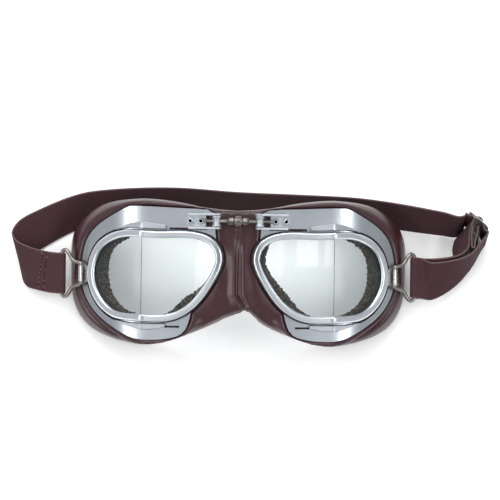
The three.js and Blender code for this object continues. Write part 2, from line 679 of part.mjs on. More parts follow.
function strapLeftEnd() {
  const inner = WIRE_RADIUS + CLEARANCE;
  const outer = inner + STRAP_THICKNESS;
  const outline = new THREE.Shape();
  outline.moveTo(STRAP_LAP, -STRAP_THICKNESS);
  outline.lineTo(STRAP_LAP, STRAP_THICKNESS);
  outline.lineTo(outer * 2.4, STRAP_THICKNESS);
  outline.quadraticCurveTo(outer, outer, 0, outer);
  outline.absarc(0, 0, outer, Math.PI / 2, Math.PI * 1.5, false);
  outline.quadraticCurveTo(outer, -outer, outer * 2.4, -STRAP_THICKNESS);
  outline.closePath();
  const eye = new THREE.Path();
  eye.absarc(0, 0, inner, Math.PI * 1.7, Math.PI * 0.3, true);
  eye.lineTo(outer * 1.6, 0);
  eye.closePath();
  outline.holes.push(eye);
  const lap = new THREE.ExtrudeGeometry(outline, { depth: STRAP_WIDTH, bevelEnabled: false, curveSegments: 6 });
  const up = new THREE.Vector3().crossVectors(barWidthWay, lapWay).normalize();
  const basis = new THREE.Matrix4().makeBasis(lapWay, up, new THREE.Vector3().crossVectors(lapWay, up));
  lap.translate(0, 0, -STRAP_WIDTH / 2).applyMatrix4(basis);
  return mergeVertices(bareGeometry(lap)).translate(leftBar.x, leftBar.y, leftBar.z);
}

// The slider stands on edge at the right-hand corner of the strap
const sliderHalfHeight = STRAP_WIDTH / 2 + CLEARANCE + SLIDER_WIRE_RADIUS;
const sliderCentre = new THREE.Vector3(
  rightBar.x + SLIDER_OUT_FROM_BAR, SLIDER_Y, sliderHalfHeight + SLIDER_WIRE_RADIUS + CLEARANCE,
);
const sliderWay = new THREE.Vector3(-Math.cos(SLIDER_TURN), Math.sin(SLIDER_TURN), 0);
const sliderOut = new THREE.Vector3(Math.sin(SLIDER_TURN), Math.cos(SLIDER_TURN), 0);

function alongSlider(along, out) {
  const p = sliderCentre.clone().addScaledVector(sliderWay, along).addScaledVector(sliderOut, out);
  return station([p.x, p.y, p.z - STRAP_WIDTH / 2], [0, 0, 1]);
}

const threadOut = SLIDER_WIRE_RADIUS + STRAP_THICKNESS / 2 + CLEARANCE * 1.4;

function strapBack() {
  const lapEnd = leftBar.clone().addScaledVector(lapWay, STRAP_LAP + CLEARANCE);
  const lapLow = lapEnd.clone().addScaledVector(barWidthWay, -STRAP_WIDTH / 2);
  const left = -leftBar.x;
  const right = rightBar.x;
  return ribbon([
    { low: lapLow, way: barWidthWay },
    station([-left - 19.6, 1.2, 6.2], [0.5, 20.5, 8.5]),
    station([-left - 22.4, 7, 2.6], [-1, 17.5, 11]),
    station([-left - 22.4, 13, 0.8], [-5, 17, 12]),
    station([-left - 19.1, 18.8, 0.7], [-5, 16.5, 12]),
    station([-left - 11.4, 25, 0.6], [-2, 17.5, 12.5]),
    station([-left + 9, 36.7, 0.6], [0, 15, 16]),
    station([-left + 27, 41.5, 0.6], [0, 13.5, 17.5]),
    station([-37, 46, 0.6], [0, 10, 20]),
    station([0, 48.3, 0.6], [0, 5, 22]),
    station([34, 47.2, 0.6], [0, 5, 22]),
    station([67, 43.8, 0.6], [0, 7, 21]),
    station([right - 8, 39.5, 0.6], [0, 9, 20]),
    station([right + 8, 37.2, 0.6], [0, 8, 20.5]),
    station([right + 17, 37.2, 0.6], [0.3, 5, 22]),
    station([right + 23, 39.6, 1.2], [0.2, 2, 23]),
    station([right + 27.2, 42.3, 1.8], [0, 0.6, 23]),
    alongSlider(SLIDER_LENGTH / 2 + 1.6, -threadOut),
  ], 72);
}

function strapRightLoop() {
  const front = new THREE.Vector3().crossVectors(bailWay, barWidthWay).normalize();
  const turn = WIRE_RADIUS + CLEARANCE + STRAP_THICKNESS / 2;
  const roundBar = (along, towards) => ({
    low: rightBar.clone().addScaledVector(bailWay, along * turn).addScaledVector(front, towards * turn)
      .addScaledVector(barWidthWay, -STRAP_WIDTH / 2),
    way: barWidthWay,
  });
  const right = rightBar.x;
  const half = SLIDER_LENGTH / 2;
  return ribbon([
    station([right + 31, 27, 1.4], [-1, 0, 23]),
    station([right + 26, 20.5, 1.8], [-2, 2, 22]),
    station([right + 21, 11, 3.4], [-4, 7, 20]),
    station([right + 12.5, 2.6, 6.4], [-2, 13, 16.5]),
    roundBar(2.2, -1.1),
    roundBar(0, -1),
    roundBar(-0.71, -0.71),
    roundBar(-1, 0),
    roundBar(-0.71, 0.71),
    roundBar(0, 1),
    roundBar(2.2, 1.1),
    station([right + 10, -4.4, 9.6], [-1, 17, 13]),
    station([right + 22.4, 3.9, 5], [-4, 9.7, 19]),
    station([right + 32.5, 16, 2], [-2, 2, 22]),
    station([right + 38.6, 27, 1], [-0.5, 0, 23]),
    alongSlider(-half - 2, -threadOut * 0.9),
    alongSlider(-half, -threadOut),
    alongSlider(-half / 2, 0),
    alongSlider(0, threadOut),
    alongSlider(half / 2, 0),
    alongSlider(half, -threadOut),
    alongSlider(half + 1.2, -threadOut),
  ], 96);
}

function strapSlider() {
  const halfLength = SLIDER_LENGTH / 2;
  const halfHeight = sliderHalfHeight;
  const bend = SLIDER_CORNER * 0.3;
  const quarter = [
    [halfLength, halfHeight - SLIDER_CORNER], [halfLength - bend, halfHeight - bend],
    [halfLength - SLIDER_CORNER, halfHeight],
  ];
  const upper = [...quarter, ...quarter.map(([u, v]) => [-u, v]).reverse()];
  const path = [...upper, ...upper.map(([u, v]) => [-u, -v])];
  const frame = toSolid(wireRing(path, 48, SLIDER_WIRE_RADIUS, 6));
  const bar = toSolid(new THREE.CylinderGeometry(SLIDER_WIRE_RADIUS, SLIDER_WIRE_RADIUS, 2 * halfHeight, 6));
  const basis = new THREE.Matrix4().makeBasis(sliderWay, new THREE.Vector3(0, 0, 1), sliderOut.clone());
  const wire = toGeometry(frame.add(bar)).applyMatrix4(basis);
  return facingOut(wire).translate(sliderCentre.x, sliderCentre.y, sliderCentre.z);
}

// Assembly
const mask = maskPieces();

function eye(side) {
  const group = new THREE.Group();
  group.add(
    piece(`mask_${side}_cup`, mask.cup, rubber),
    piece(`${side}_lining`, lining(), felt),
    piece(`${side}_retaining_ring`, retainingRing(), steel),
    piece(`${side}_back_plate`, backPlate(), satinMetal),
    piece(`${side}_bezel`, bezel(), satinMetal),
    piece(`${side}_front_lens`, pane(true), clearGlass),
    piece(`${side}_side_lens`, pane(false), clearGlass),
    piece(`${side}_upper_clip`, bezelClip(true), satinMetal),
    piece(`${side}_lower_clip`, bezelClip(false), satinMetal),
    piece(`${side}_bridge_bracket`, bridgeBracket(), satinMetal),
    piece(`${side}_inner_rivet`, rivet(rivetXs[0]), nickel),
    piece(`${side}_outer_rivet`, rivet(rivetXs[1]), nickel),
    piece(`${side}_trunnion`, trunnion(), nickel),
    piece(`${side}_temple_lug`, templeLug(), satinMetal),
    piece(`${side}_bail`, bail(), nickel),
  );
  group.scale.x = side === 'left' ? -1 : 1;
  return group;
}

const goggles = new THREE.Group();
goggles.add(
  eye('left'),
  eye('right'),
  piece('mask_nose_bridge', mask.nose, rubber),
  piece('bridge_screw', bridgeScrew(), nickel),
);
goggles.rotation.x = LENS_TILT;
goggles.position.z = STAND_HEIGHT;

const part = new THREE.Group();
part.add(
  goggles,
  piece('strap_left_end', strapLeftEnd(), elastic),
  piece('strap_back', strapBack(), elastic),
  piece('strap_right_loop', strapRightLoop(), elastic),
  piece('strap_slider', strapSlider(), nickel),
);

export default part;
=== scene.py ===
from math import cos, pi, radians, sin, tan

import bpy
import numpy as np
from mathutils import Matrix, Vector


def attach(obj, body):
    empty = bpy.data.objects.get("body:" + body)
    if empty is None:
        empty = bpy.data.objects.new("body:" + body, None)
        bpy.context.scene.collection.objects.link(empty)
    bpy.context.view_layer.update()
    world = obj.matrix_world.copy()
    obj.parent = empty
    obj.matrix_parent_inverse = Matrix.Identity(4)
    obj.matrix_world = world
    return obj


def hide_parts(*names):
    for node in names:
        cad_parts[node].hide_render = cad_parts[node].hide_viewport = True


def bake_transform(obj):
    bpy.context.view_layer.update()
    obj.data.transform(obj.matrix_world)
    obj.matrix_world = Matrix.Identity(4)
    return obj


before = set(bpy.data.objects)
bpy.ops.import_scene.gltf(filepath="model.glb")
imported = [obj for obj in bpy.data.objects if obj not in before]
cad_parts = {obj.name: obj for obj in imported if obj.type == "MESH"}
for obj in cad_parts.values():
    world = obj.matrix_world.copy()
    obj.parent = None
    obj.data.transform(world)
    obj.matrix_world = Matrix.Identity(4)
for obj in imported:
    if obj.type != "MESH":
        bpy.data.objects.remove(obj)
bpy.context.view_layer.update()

MM = 0.001
WELD = 0.00001
# The frames' sheet leans back, starts beside the nose and folds at the split between the panes.
# NOSE_END, SPLIT and EYE_HEIGHT are millimetres, straight on, as on_pane takes them.
LENS_TILT = radians(16)
LEAN = Matrix.Rotation(LENS_TILT, 3, "X")
STAND_HEIGHT = 49.4 * MM
FRONT_ANGLE = radians(8)
SIDE_ANGLE = radians(38)
NOSE_END = 11.4
SPLIT = 53.3
EYE_HEIGHT = -2
SPLIT_X = SPLIT * MM
# The middles of the trunnion's pin, the bail's bar and the bail's wire in the lug, right side
PIN = Vector((11.901, 25.164, 60.324)) * MM
BAR = Vector((98.978, 6.937, 15.414)) * MM
LUG = Vector((87.649, 5.480, 20.492)) * MM
BAR_WAY = Vector((0, cos(LENS_TILT), sin(LENS_TILT)))
PLEAT_X = 3.5 * MM
STRAP_WIDTH = 23 * MM
STRAP_THICKNESS = 1.0 * MM
SIDES = {"left": -1, "right": 1}


# Shading
def operator(operation, swapped=False):
    """Arithmetic on a wire: a method that adds a Math node."""
    def apply(self, other=0.0):
        first, second = (other, self) if swapped else (self, other)
        return self.finish.add("ShaderNodeMath", {"operation": operation}, {0: first, 1: second})
    return apply


class Wire:
    """One node's output."""
    def __init__(self, finish, socket):
        self.finish = finish
        self.socket = socket

    __add__, __radd__ = operator("ADD"), operator("ADD", swapped=True)
    __sub__, __rsub__ = operator("SUBTRACT"), operator("SUBTRACT", swapped=True)
    __mul__, __rmul__ = operator("MULTIPLY"), operator("MULTIPLY", swapped=True)
    __truediv__, __pow__ = operator("DIVIDE"), operator("POWER")
    __gt__ = operator("GREATER_THAN")
    sine, size = operator("SINE"), operator("ABSOLUTE")

    def between(self, low, high):
        return self.finish.add(
            "ShaderNodeMapRange", {"interpolation_type": "SMOOTHSTEP", "clamp": True},
            {"Value": self, "From Min": low, "From Max": high},
        )


class Finish:
    """A material, and the nodes that are added to it."""
    def __init__(self, name):
        self.material = bpy.data.materials.new(name)
        self.material.use_nodes = True
        self.tree = self.material.node_tree
        self.shader = self.tree.nodes["Principled BSDF"]
        self.output = self.tree.nodes["Material Output"]

    def add(self, kind, settings=None, inputs=None, output=0):
        node = self.tree.nodes.new(kind)
        for name, value in (settings or {}).items():
            if name == "stops":
                elements = node.color_ramp.elements
                while len(elements) < len(value):
                    elements.new(0.5)
                for element, (place, colour) in zip(elements, value):
                    element.position = place
                    element.color = (*colour, 1)
            else:
                setattr(node, name, value)
        for name, value in (inputs or {}).items():
            self.join(node.inputs[name], value)
        return Wire(self, node.outputs[output])

    def join(self, socket, value):
        if isinstance(value, Wire):
            self.tree.links.new(value.socket, socket)
        else:
            socket.default_value = value

    def set(self, **values):
        for name, value in values.items():
            self.join(self.shader.inputs[name.replace("_", " ")], value)

    def place(self):
        return self.add("ShaderNodeTexCoord", output="Object")

    def axis(self, name, where=None):
        inputs = {0: where or self.place()}
        return self.add("ShaderNodeSeparateXYZ", inputs=inputs, output=name)

    def stretched(self, scale):
        return self.add("ShaderNodeMapping", inputs={"Vector": self.place(), "Scale": scale})

    def noise(self, scale, detail, where=None):
        inputs = {"Vector": where or self.place(), "Scale": scale, "Detail": detail}
        return self.add("ShaderNodeTexNoise", inputs=inputs)

    def mix(self, share, first, second):
        return self.layer(share, (*first, 1), second)

    def layer(self, share, under, colour):
        inputs = {0: share, 6: under, 7: (*colour, 1)}
        return self.add("ShaderNodeMix", {"data_type": "RGBA"}, inputs, output=2)

    def mix_shaders(self, share, first, second):
        return self.add("ShaderNodeMixShader", inputs={0: share, 1: first, 2: second})

    def bump(self, height, distance, strength):
        inputs = {"Height": height, "Distance": distance, "Strength": strength}
        self.set(Normal=self.add("ShaderNodeBump", inputs=inputs))

    def plain(self):
        return Wire(self, self.shader.outputs[0])

    def show(self, surface):
        self.join(self.output.inputs["Surface"], surface)


def burgundy_rubber():
    m = Finish("burgundy_rubber")
    clouds = m.noise(45, 3)
    grain = m.noise(2600, 2)
    rubbed = m.noise(160, 4).between(0.45, 0.75)
    colour = m.mix(clouds, (0.033, 0.0076, 0.0112), (0.046, 0.0122, 0.0162))
    m.set(
        Base_Color=m.layer(rubbed * 0.25, colour, (0.060, 0.023, 0.027)),
        Roughness=0.27 + 0.1 * clouds + 0.06 * grain, Specular_IOR_Level=0.58,
    )
    m.bump(grain, 0.06 * MM, 0.35)
    return m.material


def satin_plating(name, light, dark, roughness, grain=0.25, shade_under_pane=False):
    """Brushed plate; one set under a side pane carries a patch of painted shade there."""
    m = Finish(name)
    brushed = m.noise(900, 3, m.stretched((0.06, 1, 1)))
    clouds = m.noise(38, 2)
    handled = m.noise(300, 5).between(0.58, 0.72)
    clean = m.mix(clouds, dark, light)
    colour = m.layer(handled * (0.1 + 0.24 * grain), clean, (0.30, 0.31, 0.33))
    rough = roughness + 0.08 * clouds + 0.28 * grain * brushed
    if shade_under_pane:
        # Painted shade: under the side pane the plate turns dark brown, dull and not metal.
        painted_shade = shade_under_side_pane(m)
        shaded_colour = m.layer(painted_shade, colour, (0.016, 0.012, 0.010))
        m.set(Base_Color=shaded_colour, Roughness=rough + 0.5 * painted_shade, Metallic=1 - painted_shade)
    else:
        m.set(Base_Color=colour, Roughness=rough, Metallic=1.0)
    m.bump(brushed, 0.03 * MM, grain)
    return m.material


def shade_under_side_pane(m):
    """1 where a plate carries painted shade under a side pane, out to half way under the bezel."""
    half_width, half_height, drop, power = 27.7 * MM, 22.9 * MM, 2.9 * MM, 2.4
    x, y, z = m.axis("X").size(), m.axis("Y"), m.axis("Z") - STAND_HEIGHT
    out = (x - SPLIT_X) / half_width
    up = (y * cos(LENS_TILT) + z * sin(LENS_TILT) + drop) / half_height
    reach = out.size() ** power + up.size() ** power
    return (1 - reach.between(0.97, 1.03)) * (out > 0)


def nickel_plating(name, light, dark, roughness):
    m = Finish(name)
    wear = m.noise(260, 4)
    drawn = m.noise(1500, 2, m.stretched((1, 0.12, 1)))
    colour = m.mix(wear.between(0.35, 0.7), dark, light)
    m.set(Base_Color=colour, Roughness=roughness + 0.12 * drawn, Metallic=1.0)
    m.bump(drawn, 0.01 * MM, 0.12)
    return m.material


def speckled_felt():
    m = Finish("speckled_felt")
    fibres = m.noise(1500, 2)
    tufts = m.noise(620, 2)
    stops = [
        (0.40, (0.008, 0.0046, 0.0029)), (0.5, (0.028, 0.018, 0.012)),
        (0.60, (0.175, 0.122, 0.088)),
    ]
    colour = m.add("ShaderNodeValToRGB", {"stops": stops}, {0: 0.55 * fibres + 0.45 * tufts})
    m.set(Base_Color=colour, Roughness=0.96, Specular_IOR_Level=0.1)
    m.bump(fibres + 0.5 * tufts, 0.5 * MM, 0.8)
    return m.material


def clear_pane():
    m = Finish("clear_pane")
    haze = m.noise(70, 3)
    m.set(Base_Color=m.mix(haze, (0.60, 0.67, 0.66), (0.78, 0.83, 0.82)), Roughness=0.3)
    clear = m.add("ShaderNodeBsdfTransparent", inputs={"Color": (0.935, 0.966, 0.970, 1)})
    mirror = m.add("ShaderNodeBsdfGlossy", inputs={"Color": (1, 1, 1, 1), "Roughness": 0.015})
    slant = m.add("ShaderNodeLayerWeight", inputs={"Blend": 0.5}, output="Facing")
    sheen = 0.035 + 0.9 * slant ** 5
    body = m.mix_shaders(0.004 + 0.012 * haze, clear, m.plain())
    m.show(m.mix_shaders(sheen, body, mirror))
    return m.material


def dull(name, colour, roughness):
    m = Finish(name)
    clouds = m.noise(400, 2)
    mottled = m.mix(clouds, tuple(0.7 * c for c in colour), colour)
    m.set(Base_Color=mottled, Roughness=roughness + 0.1 * clouds, Specular_IOR_Level=0.2)
    return m.material


def woven_elastic():
    m = Finish("woven_elastic")
    where = m.add("ShaderNodeUVMap", {"uv_map": "weave"})
    along, across = m.axis("X", where), m.axis("Y", where)
    pitch = 1.45 * MM
    rise = (2 * pi / pitch) * (along + across)
    fall = (2 * pi / pitch) * (along - across)
    diamonds = 0.5 + 0.25 * rise.sine() + 0.25 * fall.sine()
    yarn = m.noise(1000, 2)
    half = STRAP_WIDTH / 2
    edge = (across - half).size().between(half - 0.8 * MM, half - 0.3 * MM)
    shade = m.noise(70, 3)
    relief = diamonds * 0.7 + yarn * 0.3
    light = relief - 0.1 + shade * 0.2
    colour = m.mix(light, (0.018, 0.0065, 0.0085), (0.105, 0.052, 0.060))
    m.set(
        Base_Color=m.layer(edge * 0.75, colour, (0.17, 0.115, 0.122)), Roughness=0.78 + 0.1 * shade,
        Specular_IOR_Level=0.12, Sheen_Weight=0.03,
    )
    m.bump(relief * (1 - edge) + edge * 0.9, 0.25 * MM, 0.8)
    return m.material


def sewing_thread():
    m = Finish("sewing_thread")
    twist = m.noise(700, 2)
    colour = m.mix(twist.between(0.45, 0.7), (0.007, 0.003, 0.004), (0.15, 0.11, 0.118))
    m.set(Base_Color=colour, Roughness=0.65 + 0.1 * twist)
    return m.material


def pale_floor():
    """A white sheet lifted to white by a glow, which occlusion dims near things as painted shade.
    """
    m = Finish("pale_floor")
    m.set(Base_Color=(0.93, 0.935, 0.94, 1), Roughness=0.9, Specular_IOR_Level=0.1)
    rays = [
        m.add("ShaderNodeLightPath", output=name)
        for name in ("Is Camera Ray", "Is Glossy Ray", "Is Transmission Ray")
    ]
    lift = rays[0] + rays[1] + rays[2]
    # Painted shade: within 3 cm of things the glow fades by ambient occlusion.
    settings, inputs = {"samples": 12}, {"Distance": 0.03}
    open_floor = m.add("ShaderNodeAmbientOcclusion", settings, inputs, output="AO")
    glow = m.add("ShaderNodeEmission", inputs={"Color": (1, 1, 1, 1), "Strength": 0.38})
    lifted = m.add("ShaderNodeAddShader", inputs={0: m.plain(), 1: glow})
    m.show(m.mix_shaders(lift * open_floor, m.plain(), lifted))
    return m.material


RUBBER = burgundy_rubber()
# The plates carry painted shade under their side panes.
PLATE_SATIN = satin_plating(
    "satin_plate", (0.52, 0.56, 0.60), (0.415, 0.45, 0.49), 0.24, shade_under_pane=True,
)
BEZEL_SATIN = satin_plating("satin_bezel", (0.72, 0.76, 0.795), (0.63, 0.67, 0.705), 0.26, 0.02)
CLIP_POLISH = satin_plating("polished_clip", (0.60, 0.64, 0.68), (0.49, 0.53, 0.57), 0.34, 0.05)
BRACKET_SATIN = satin_plating("satin_bracket", (0.50, 0.535, 0.565), (0.41, 0.44, 0.465), 0.46, 0.1)
WIRE_NICKEL = nickel_plating("nickel_wire", (0.30, 0.275, 0.257), (0.215, 0.196, 0.183), 0.24)
LUG_NICKEL = nickel_plating("nickel_lug", (0.64, 0.63, 0.62), (0.55, 0.54, 0.53), 0.22)
SLIDER_NICKEL = nickel_plating("nickel_slider", (0.72, 0.70, 0.68), (0.60, 0.58, 0.56), 0.34)
SCREW_NICKEL = nickel_plating("worn_screw_nickel", (0.28, 0.26, 0.245), (0.13, 0.12, 0.112), 0.3)
BORE_SHADE = nickel_plating("bore_shade", (0.05, 0.045, 0.042), (0.02, 0.018, 0.017), 0.6)
RING_STEEL = nickel_plating("ring_steel", (0.30, 0.29, 0.28), (0.18, 0.175, 0.17), 0.4)
FELT = speckled_felt()
GLASS = clear_pane()
PANE_EDGE = dull("ground_pane_edge", (0.045, 0.047, 0.047), 0.5)
# Painted shade: the dark line round the bezels' feet.
SHADE_LINE = dull("painted_gap_shade", (0.022, 0.011, 0.011), 0.6)
ELASTIC = woven_elastic()
THREAD = sewing_thread()


# Working on one object with operators
def activate(obj):
    if bpy.context.object and bpy.context.object.mode != "OBJECT":
        object_mode()
    bpy.ops.object.select_all(action="DESELECT")
    obj.select_set(True)
    bpy.context.view_layer.objects.active = obj
    return obj


def edit(obj, kind="VERT", action="SELECT"):
    """Edit mode, with all of a mesh selected or none of it."""
    activate(obj)
    bpy.ops.object.mode_set(mode="EDIT")
    bpy.ops.mesh.select_mode(type=kind)
    bpy.ops.mesh.select_all(action=action)


def object_mode():
    bpy.ops.object.mode_set(mode="OBJECT")


def edit_faces(obj, wanted):
    """Edit mode, with only the wanted faces selected."""
    edit(obj, "FACE", "DESELECT")
    object_mode()
    for face in obj.data.polygons:
        face.select = bool(wanted(face))
    bpy.ops.object.mode_set(mode="EDIT")


def cut_across(obj, places):
    """Cuts edges into a mesh at places along X."""
    for x in places:
        edit(obj)
        bpy.ops.mesh.bisect(plane_co=(x, 0, 0), plane_no=(1, 0, 0))
        object_mode()


def linked(name, data):
    """A new object in the scene."""
    obj = bpy.data.objects.new(name, data)
    bpy.context.scene.collection.objects.link(obj)
    return obj


def chain(name, places):
    """A new object of edges from place to place."""
    mesh = bpy.data.meshes.new(name)
    mesh.from_pydata(places, [(i, i + 1) for i in range(len(places) - 1)], [])
    return linked(name, mesh)


def modify(obj, kind, **settings):
    activate(obj)
    modifier = obj.modifiers.new(kind.lower(), kind)
    for name, value in settings.items():
        setattr(modifier, name, value)
    bpy.ops.object.modifier_apply(modifier=modifier.name)


def bevel(obj, width, angle, segments=2):
    modify(
        obj, "BEVEL", limit_method="ANGLE", angle_limit=radians(angle), width=width,
        segments=segments, use_clamp_overlap=True,
    )


def smooth(obj, angle=40):
    activate(obj)
    bpy.ops.object.shade_smooth_by_angle(angle=radians(angle))


def coated(obj, material, slot, *nodes):
    obj.data.materials.clear()
    obj.data.materials.append(material)
    if nodes:
        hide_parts(*nodes)
    return obj


def open_copy(node, name):
    """A copy of a CAD node with its loose triangles merged, left in edit mode."""
    obj = linked(name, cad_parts[node].data.copy())
    edit(obj)
    bpy.ops.mesh.remove_doubles(threshold=WELD)
    return obj


def from_cad(node, name):
    """A clean copy of a CAD node, its flat faces joined."""
    obj = open_copy(node, name)
    bpy.ops.mesh.dissolve_limited(angle_limit=radians(1.0))
    object_mode()
    return obj


def eased(node, name, width, angle=30, shape=None, soft=40):
    """A copy of a CAD node with its edges rounded off and its flat faces kept flat."""
    obj = from_cad(node, name)
    if shape:
        shape(obj)
    bevel(obj, width, angle)
    smooth(obj, soft)
    modify(obj, "WEIGHTED_NORMAL", keep_sharp=True)
    return obj


def per_vertex(obj, what):
    values = np.empty(len(obj.data.vertices) * 3)
    obj.data.vertices.foreach_get(what, values)
    return values.reshape(-1, 3)


def vertices(obj):
    return per_vertex(obj, "co")


def normals_of(obj):
    return per_vertex(obj, "normal")


def move_vertices(obj, places):
    obj.data.vertices.foreach_set("co", places.reshape(-1))
    obj.data.update()


def swell(obj, distance):
    move_vertices(obj, vertices(obj) + normals_of(obj) * distance)


def ramp(values, start, end):
    """0 up to start, 1 from end on, and a straight rise between them."""
    return np.clip((values - start) / (end - start), 0, 1)


def curve_point(points, t):
    """A smooth curve through points, as the solids' curves run; t goes from 0 to 1."""
    last = len(points) - 1
    step = min(int(t * last), last - 1)
    share = t * last - step
    p1, p2 = points[step], points[step + 1]
    p0 = points[step - 1] if step > 0 else 2 * points[0] - points[1]
    p3 = points[step + 2] if step + 2 <= last else 2 * points[last] - points[last - 1]
    gaps = [max((b - a).length ** 0.5, 1e-6) for a, b in ((p0, p1), (p1, p2), (p2, p3))]
    start = (p1 - p0) / gaps[0] - (p2 - p0) / (gaps[0] + gaps[1]) + (p2 - p1) / gaps[1]
    end = (p2 - p1) / gaps[1] - (p3 - p1) / (gaps[1] + gaps[2]) + (p3 - p2) / gaps[2]
    start, end = start * gaps[1], end * gaps[1]
    square, cube = share * share, share ** 3
    return (
        p1 + start * share + (3 * p2 - 3 * p1 - 2 * start - end) * square
        + (2 * p1 - 2 * p2 + start + end) * cube
    )


def both_ways(half):
    """A profile and its mirror image."""
    return [(radius, -along) for radius, along in reversed(half[1:])] + half


def turned(name, profile, centre, axis, steps):
    """Spins a profile of (radius, along) millimetres round an axis through centre."""
    axis = Vector(axis).normalized()
    out = axis.orthogonal().normalized()
    places = [centre + out * (radius * MM) + axis * (along * MM) for radius, along in profile]
    obj = chain(name, places)
    edit(obj)
    bpy.ops.mesh.spin(steps=steps, angle=2 * pi, center=centre, axis=axis)
    bpy.ops.mesh.select_all(action="SELECT")
    bpy.ops.mesh.remove_doubles(threshold=WELD / 2)
    bpy.ops.mesh.normals_make_consistent(inside=False)
    object_mode()
    return obj


def on_side(side, place):
    """A right-hand place, or its mirror image for the left."""
    return Vector((place.x * SIDES[side], place.y, place.z))


def on_pane(side, x, y, height):
    """A place over a front pane: straight on from the middle, and height above the sheet."""
    depth = -tan(FRONT_ANGLE) * (x - NOSE_END)
    out = (x + sin(FRONT_ANGLE) * height) * SIDES[side]
    flat = Vector((out, y, depth + cos(FRONT_ANGLE) * height)) * MM
    return LEAN @ flat + Vector((0, 0, STAND_HEIGHT))


def sheet_normal(side, bend=FRONT_ANGLE):
    return LEAN @ Vector((sin(bend) * SIDES[side], 0, cos(bend)))


# Frames: pressed plates, bezels, glass
def make_bezel(side):
    node = f"{side}_bezel"
    obj = open_copy(node, f"{side}_bezel_ring")
    bpy.ops.mesh.tris_convert_to_quads(face_threshold=radians(60), shape_threshold=radians(120))
    object_mode()
    bevel(obj, 0.75 * MM, 33, 4)
    raise_crease(obj, side, 0.9 * MM, 0.4 * MM)
    smooth(obj, 28)
    modify(obj, "WEIGHTED_NORMAL", keep_sharp=True)
    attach(coated(obj, BEZEL_SATIN, "satin_metal", node), f"{side}_eye")


def leaned(places):
    """World places turned back by the lens tilt, in millimetres: the sheet's folds run upright."""
    x, y, z = places[:, 0], places[:, 1], places[:, 2] - STAND_HEIGHT
    high = y * cos(LENS_TILT) + z * sin(LENS_TILT)
    deep = z * cos(LENS_TILT) - y * sin(LENS_TILT)
    return np.stack([x, high, deep], axis=1) / MM


def frontness(normals):
    """How far normals face the way that the sheet does, from -1 to 1."""
    return normals[:, 2] * cos(LENS_TILT) - normals[:, 1] * sin(LENS_TILT)


def raise_crease(obj, side, half_width, height):
    """Presses a narrow rib into a pressing where it folds along the split between the panes."""
    middle = SPLIT_X * SIDES[side]
    cut_across(obj, [middle + share * half_width for share in (-1, -0.45, 0, 0.45, 1)])
    places = vertices(obj)
    normals = normals_of(obj)
    near = np.clip(1 - np.abs(places[:, 0] - middle) / half_width, 0, 1)
    facing = ramp(frontness(normals), -0.2, 0.8)
    lift = height * np.sin(near * pi / 2) * facing
    move_vertices(obj, places + normals * lift[:, None])


def make_shade_line(side):
    """Painted shade: a dark band round the bezel's foot, for the shadowed gap under the bezel."""
    foot_height, tuck, lip, temple_lip, inner_lip = 0.8, 0.05, 0.4, 2.7, 0.4
    obj = open_copy(f"{side}_bezel", f"{side}_bezel_shade_line")
    object_mode()
    places = leaned(vertices(obj))
    normals = normals_of(obj)
    x = np.abs(places[:, 0])
    front = -tan(FRONT_ANGLE) * (np.clip(x, NOSE_END, SPLIT) - NOSE_END)
    sheet = front - tan(SIDE_ANGLE) * np.maximum(0, x - SPLIT)
    foot = places[:, 2] - sheet < foot_height
    away = vertices(obj) - np.array(on_pane(side, SPLIT, EYE_HEIGHT, 0))
    outer = np.sum(away * normals, axis=1) > 0
    away /= np.linalg.norm(away, axis=1)[:, None]
    overhang = temple_lip * ramp(away[:, 0] * SIDES[side], 0, 1) * (x > SPLIT)
    beside_clip = ramp(np.abs(x - SPLIT), 10, 14)
    reach = tuck + (lip + overhang) * beside_clip
    shift = np.where(outer, reach, reach + inner_lip) * foot * MM
    moved = vertices(obj) + away * shift[:, None]
    drop = np.where(x > SPLIT, tan(SIDE_ANGLE), tan(FRONT_ANGLE))
    moved[:, 2] -= shift * np.maximum(0, drop * away[:, 0] * SIDES[side] + away[:, 2])
    move_vertices(obj, moved)
    edit_faces(obj, lambda face: not all(foot[v] for v in face.vertices))
    bpy.ops.mesh.delete(type="FACE")
    object_mode()
    modify(obj, "SOLIDIFY", thickness=0.5 * MM, offset=0, use_even_offset=True)
    smooth(obj)
    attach(coated(obj, SHADE_LINE, "mask_rubber"), f"{side}_eye")


def make_pane(side, pane):
    node = f"{side}_{pane}"
    glass = coated(eased(node, f"{node}_glass", 0.2 * MM), GLASS, "clear_glass", node)
    glass.data.materials.append(PANE_EDGE)
    for face in glass.data.polygons:
        at_joint = pane == "front_lens" and abs(abs(face.center.x) - SPLIT_X) < 1.2 * MM
        face.material_index = int(at_joint and abs(face.normal.x) > 0.4)
    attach(glass, f"{side}_eye")


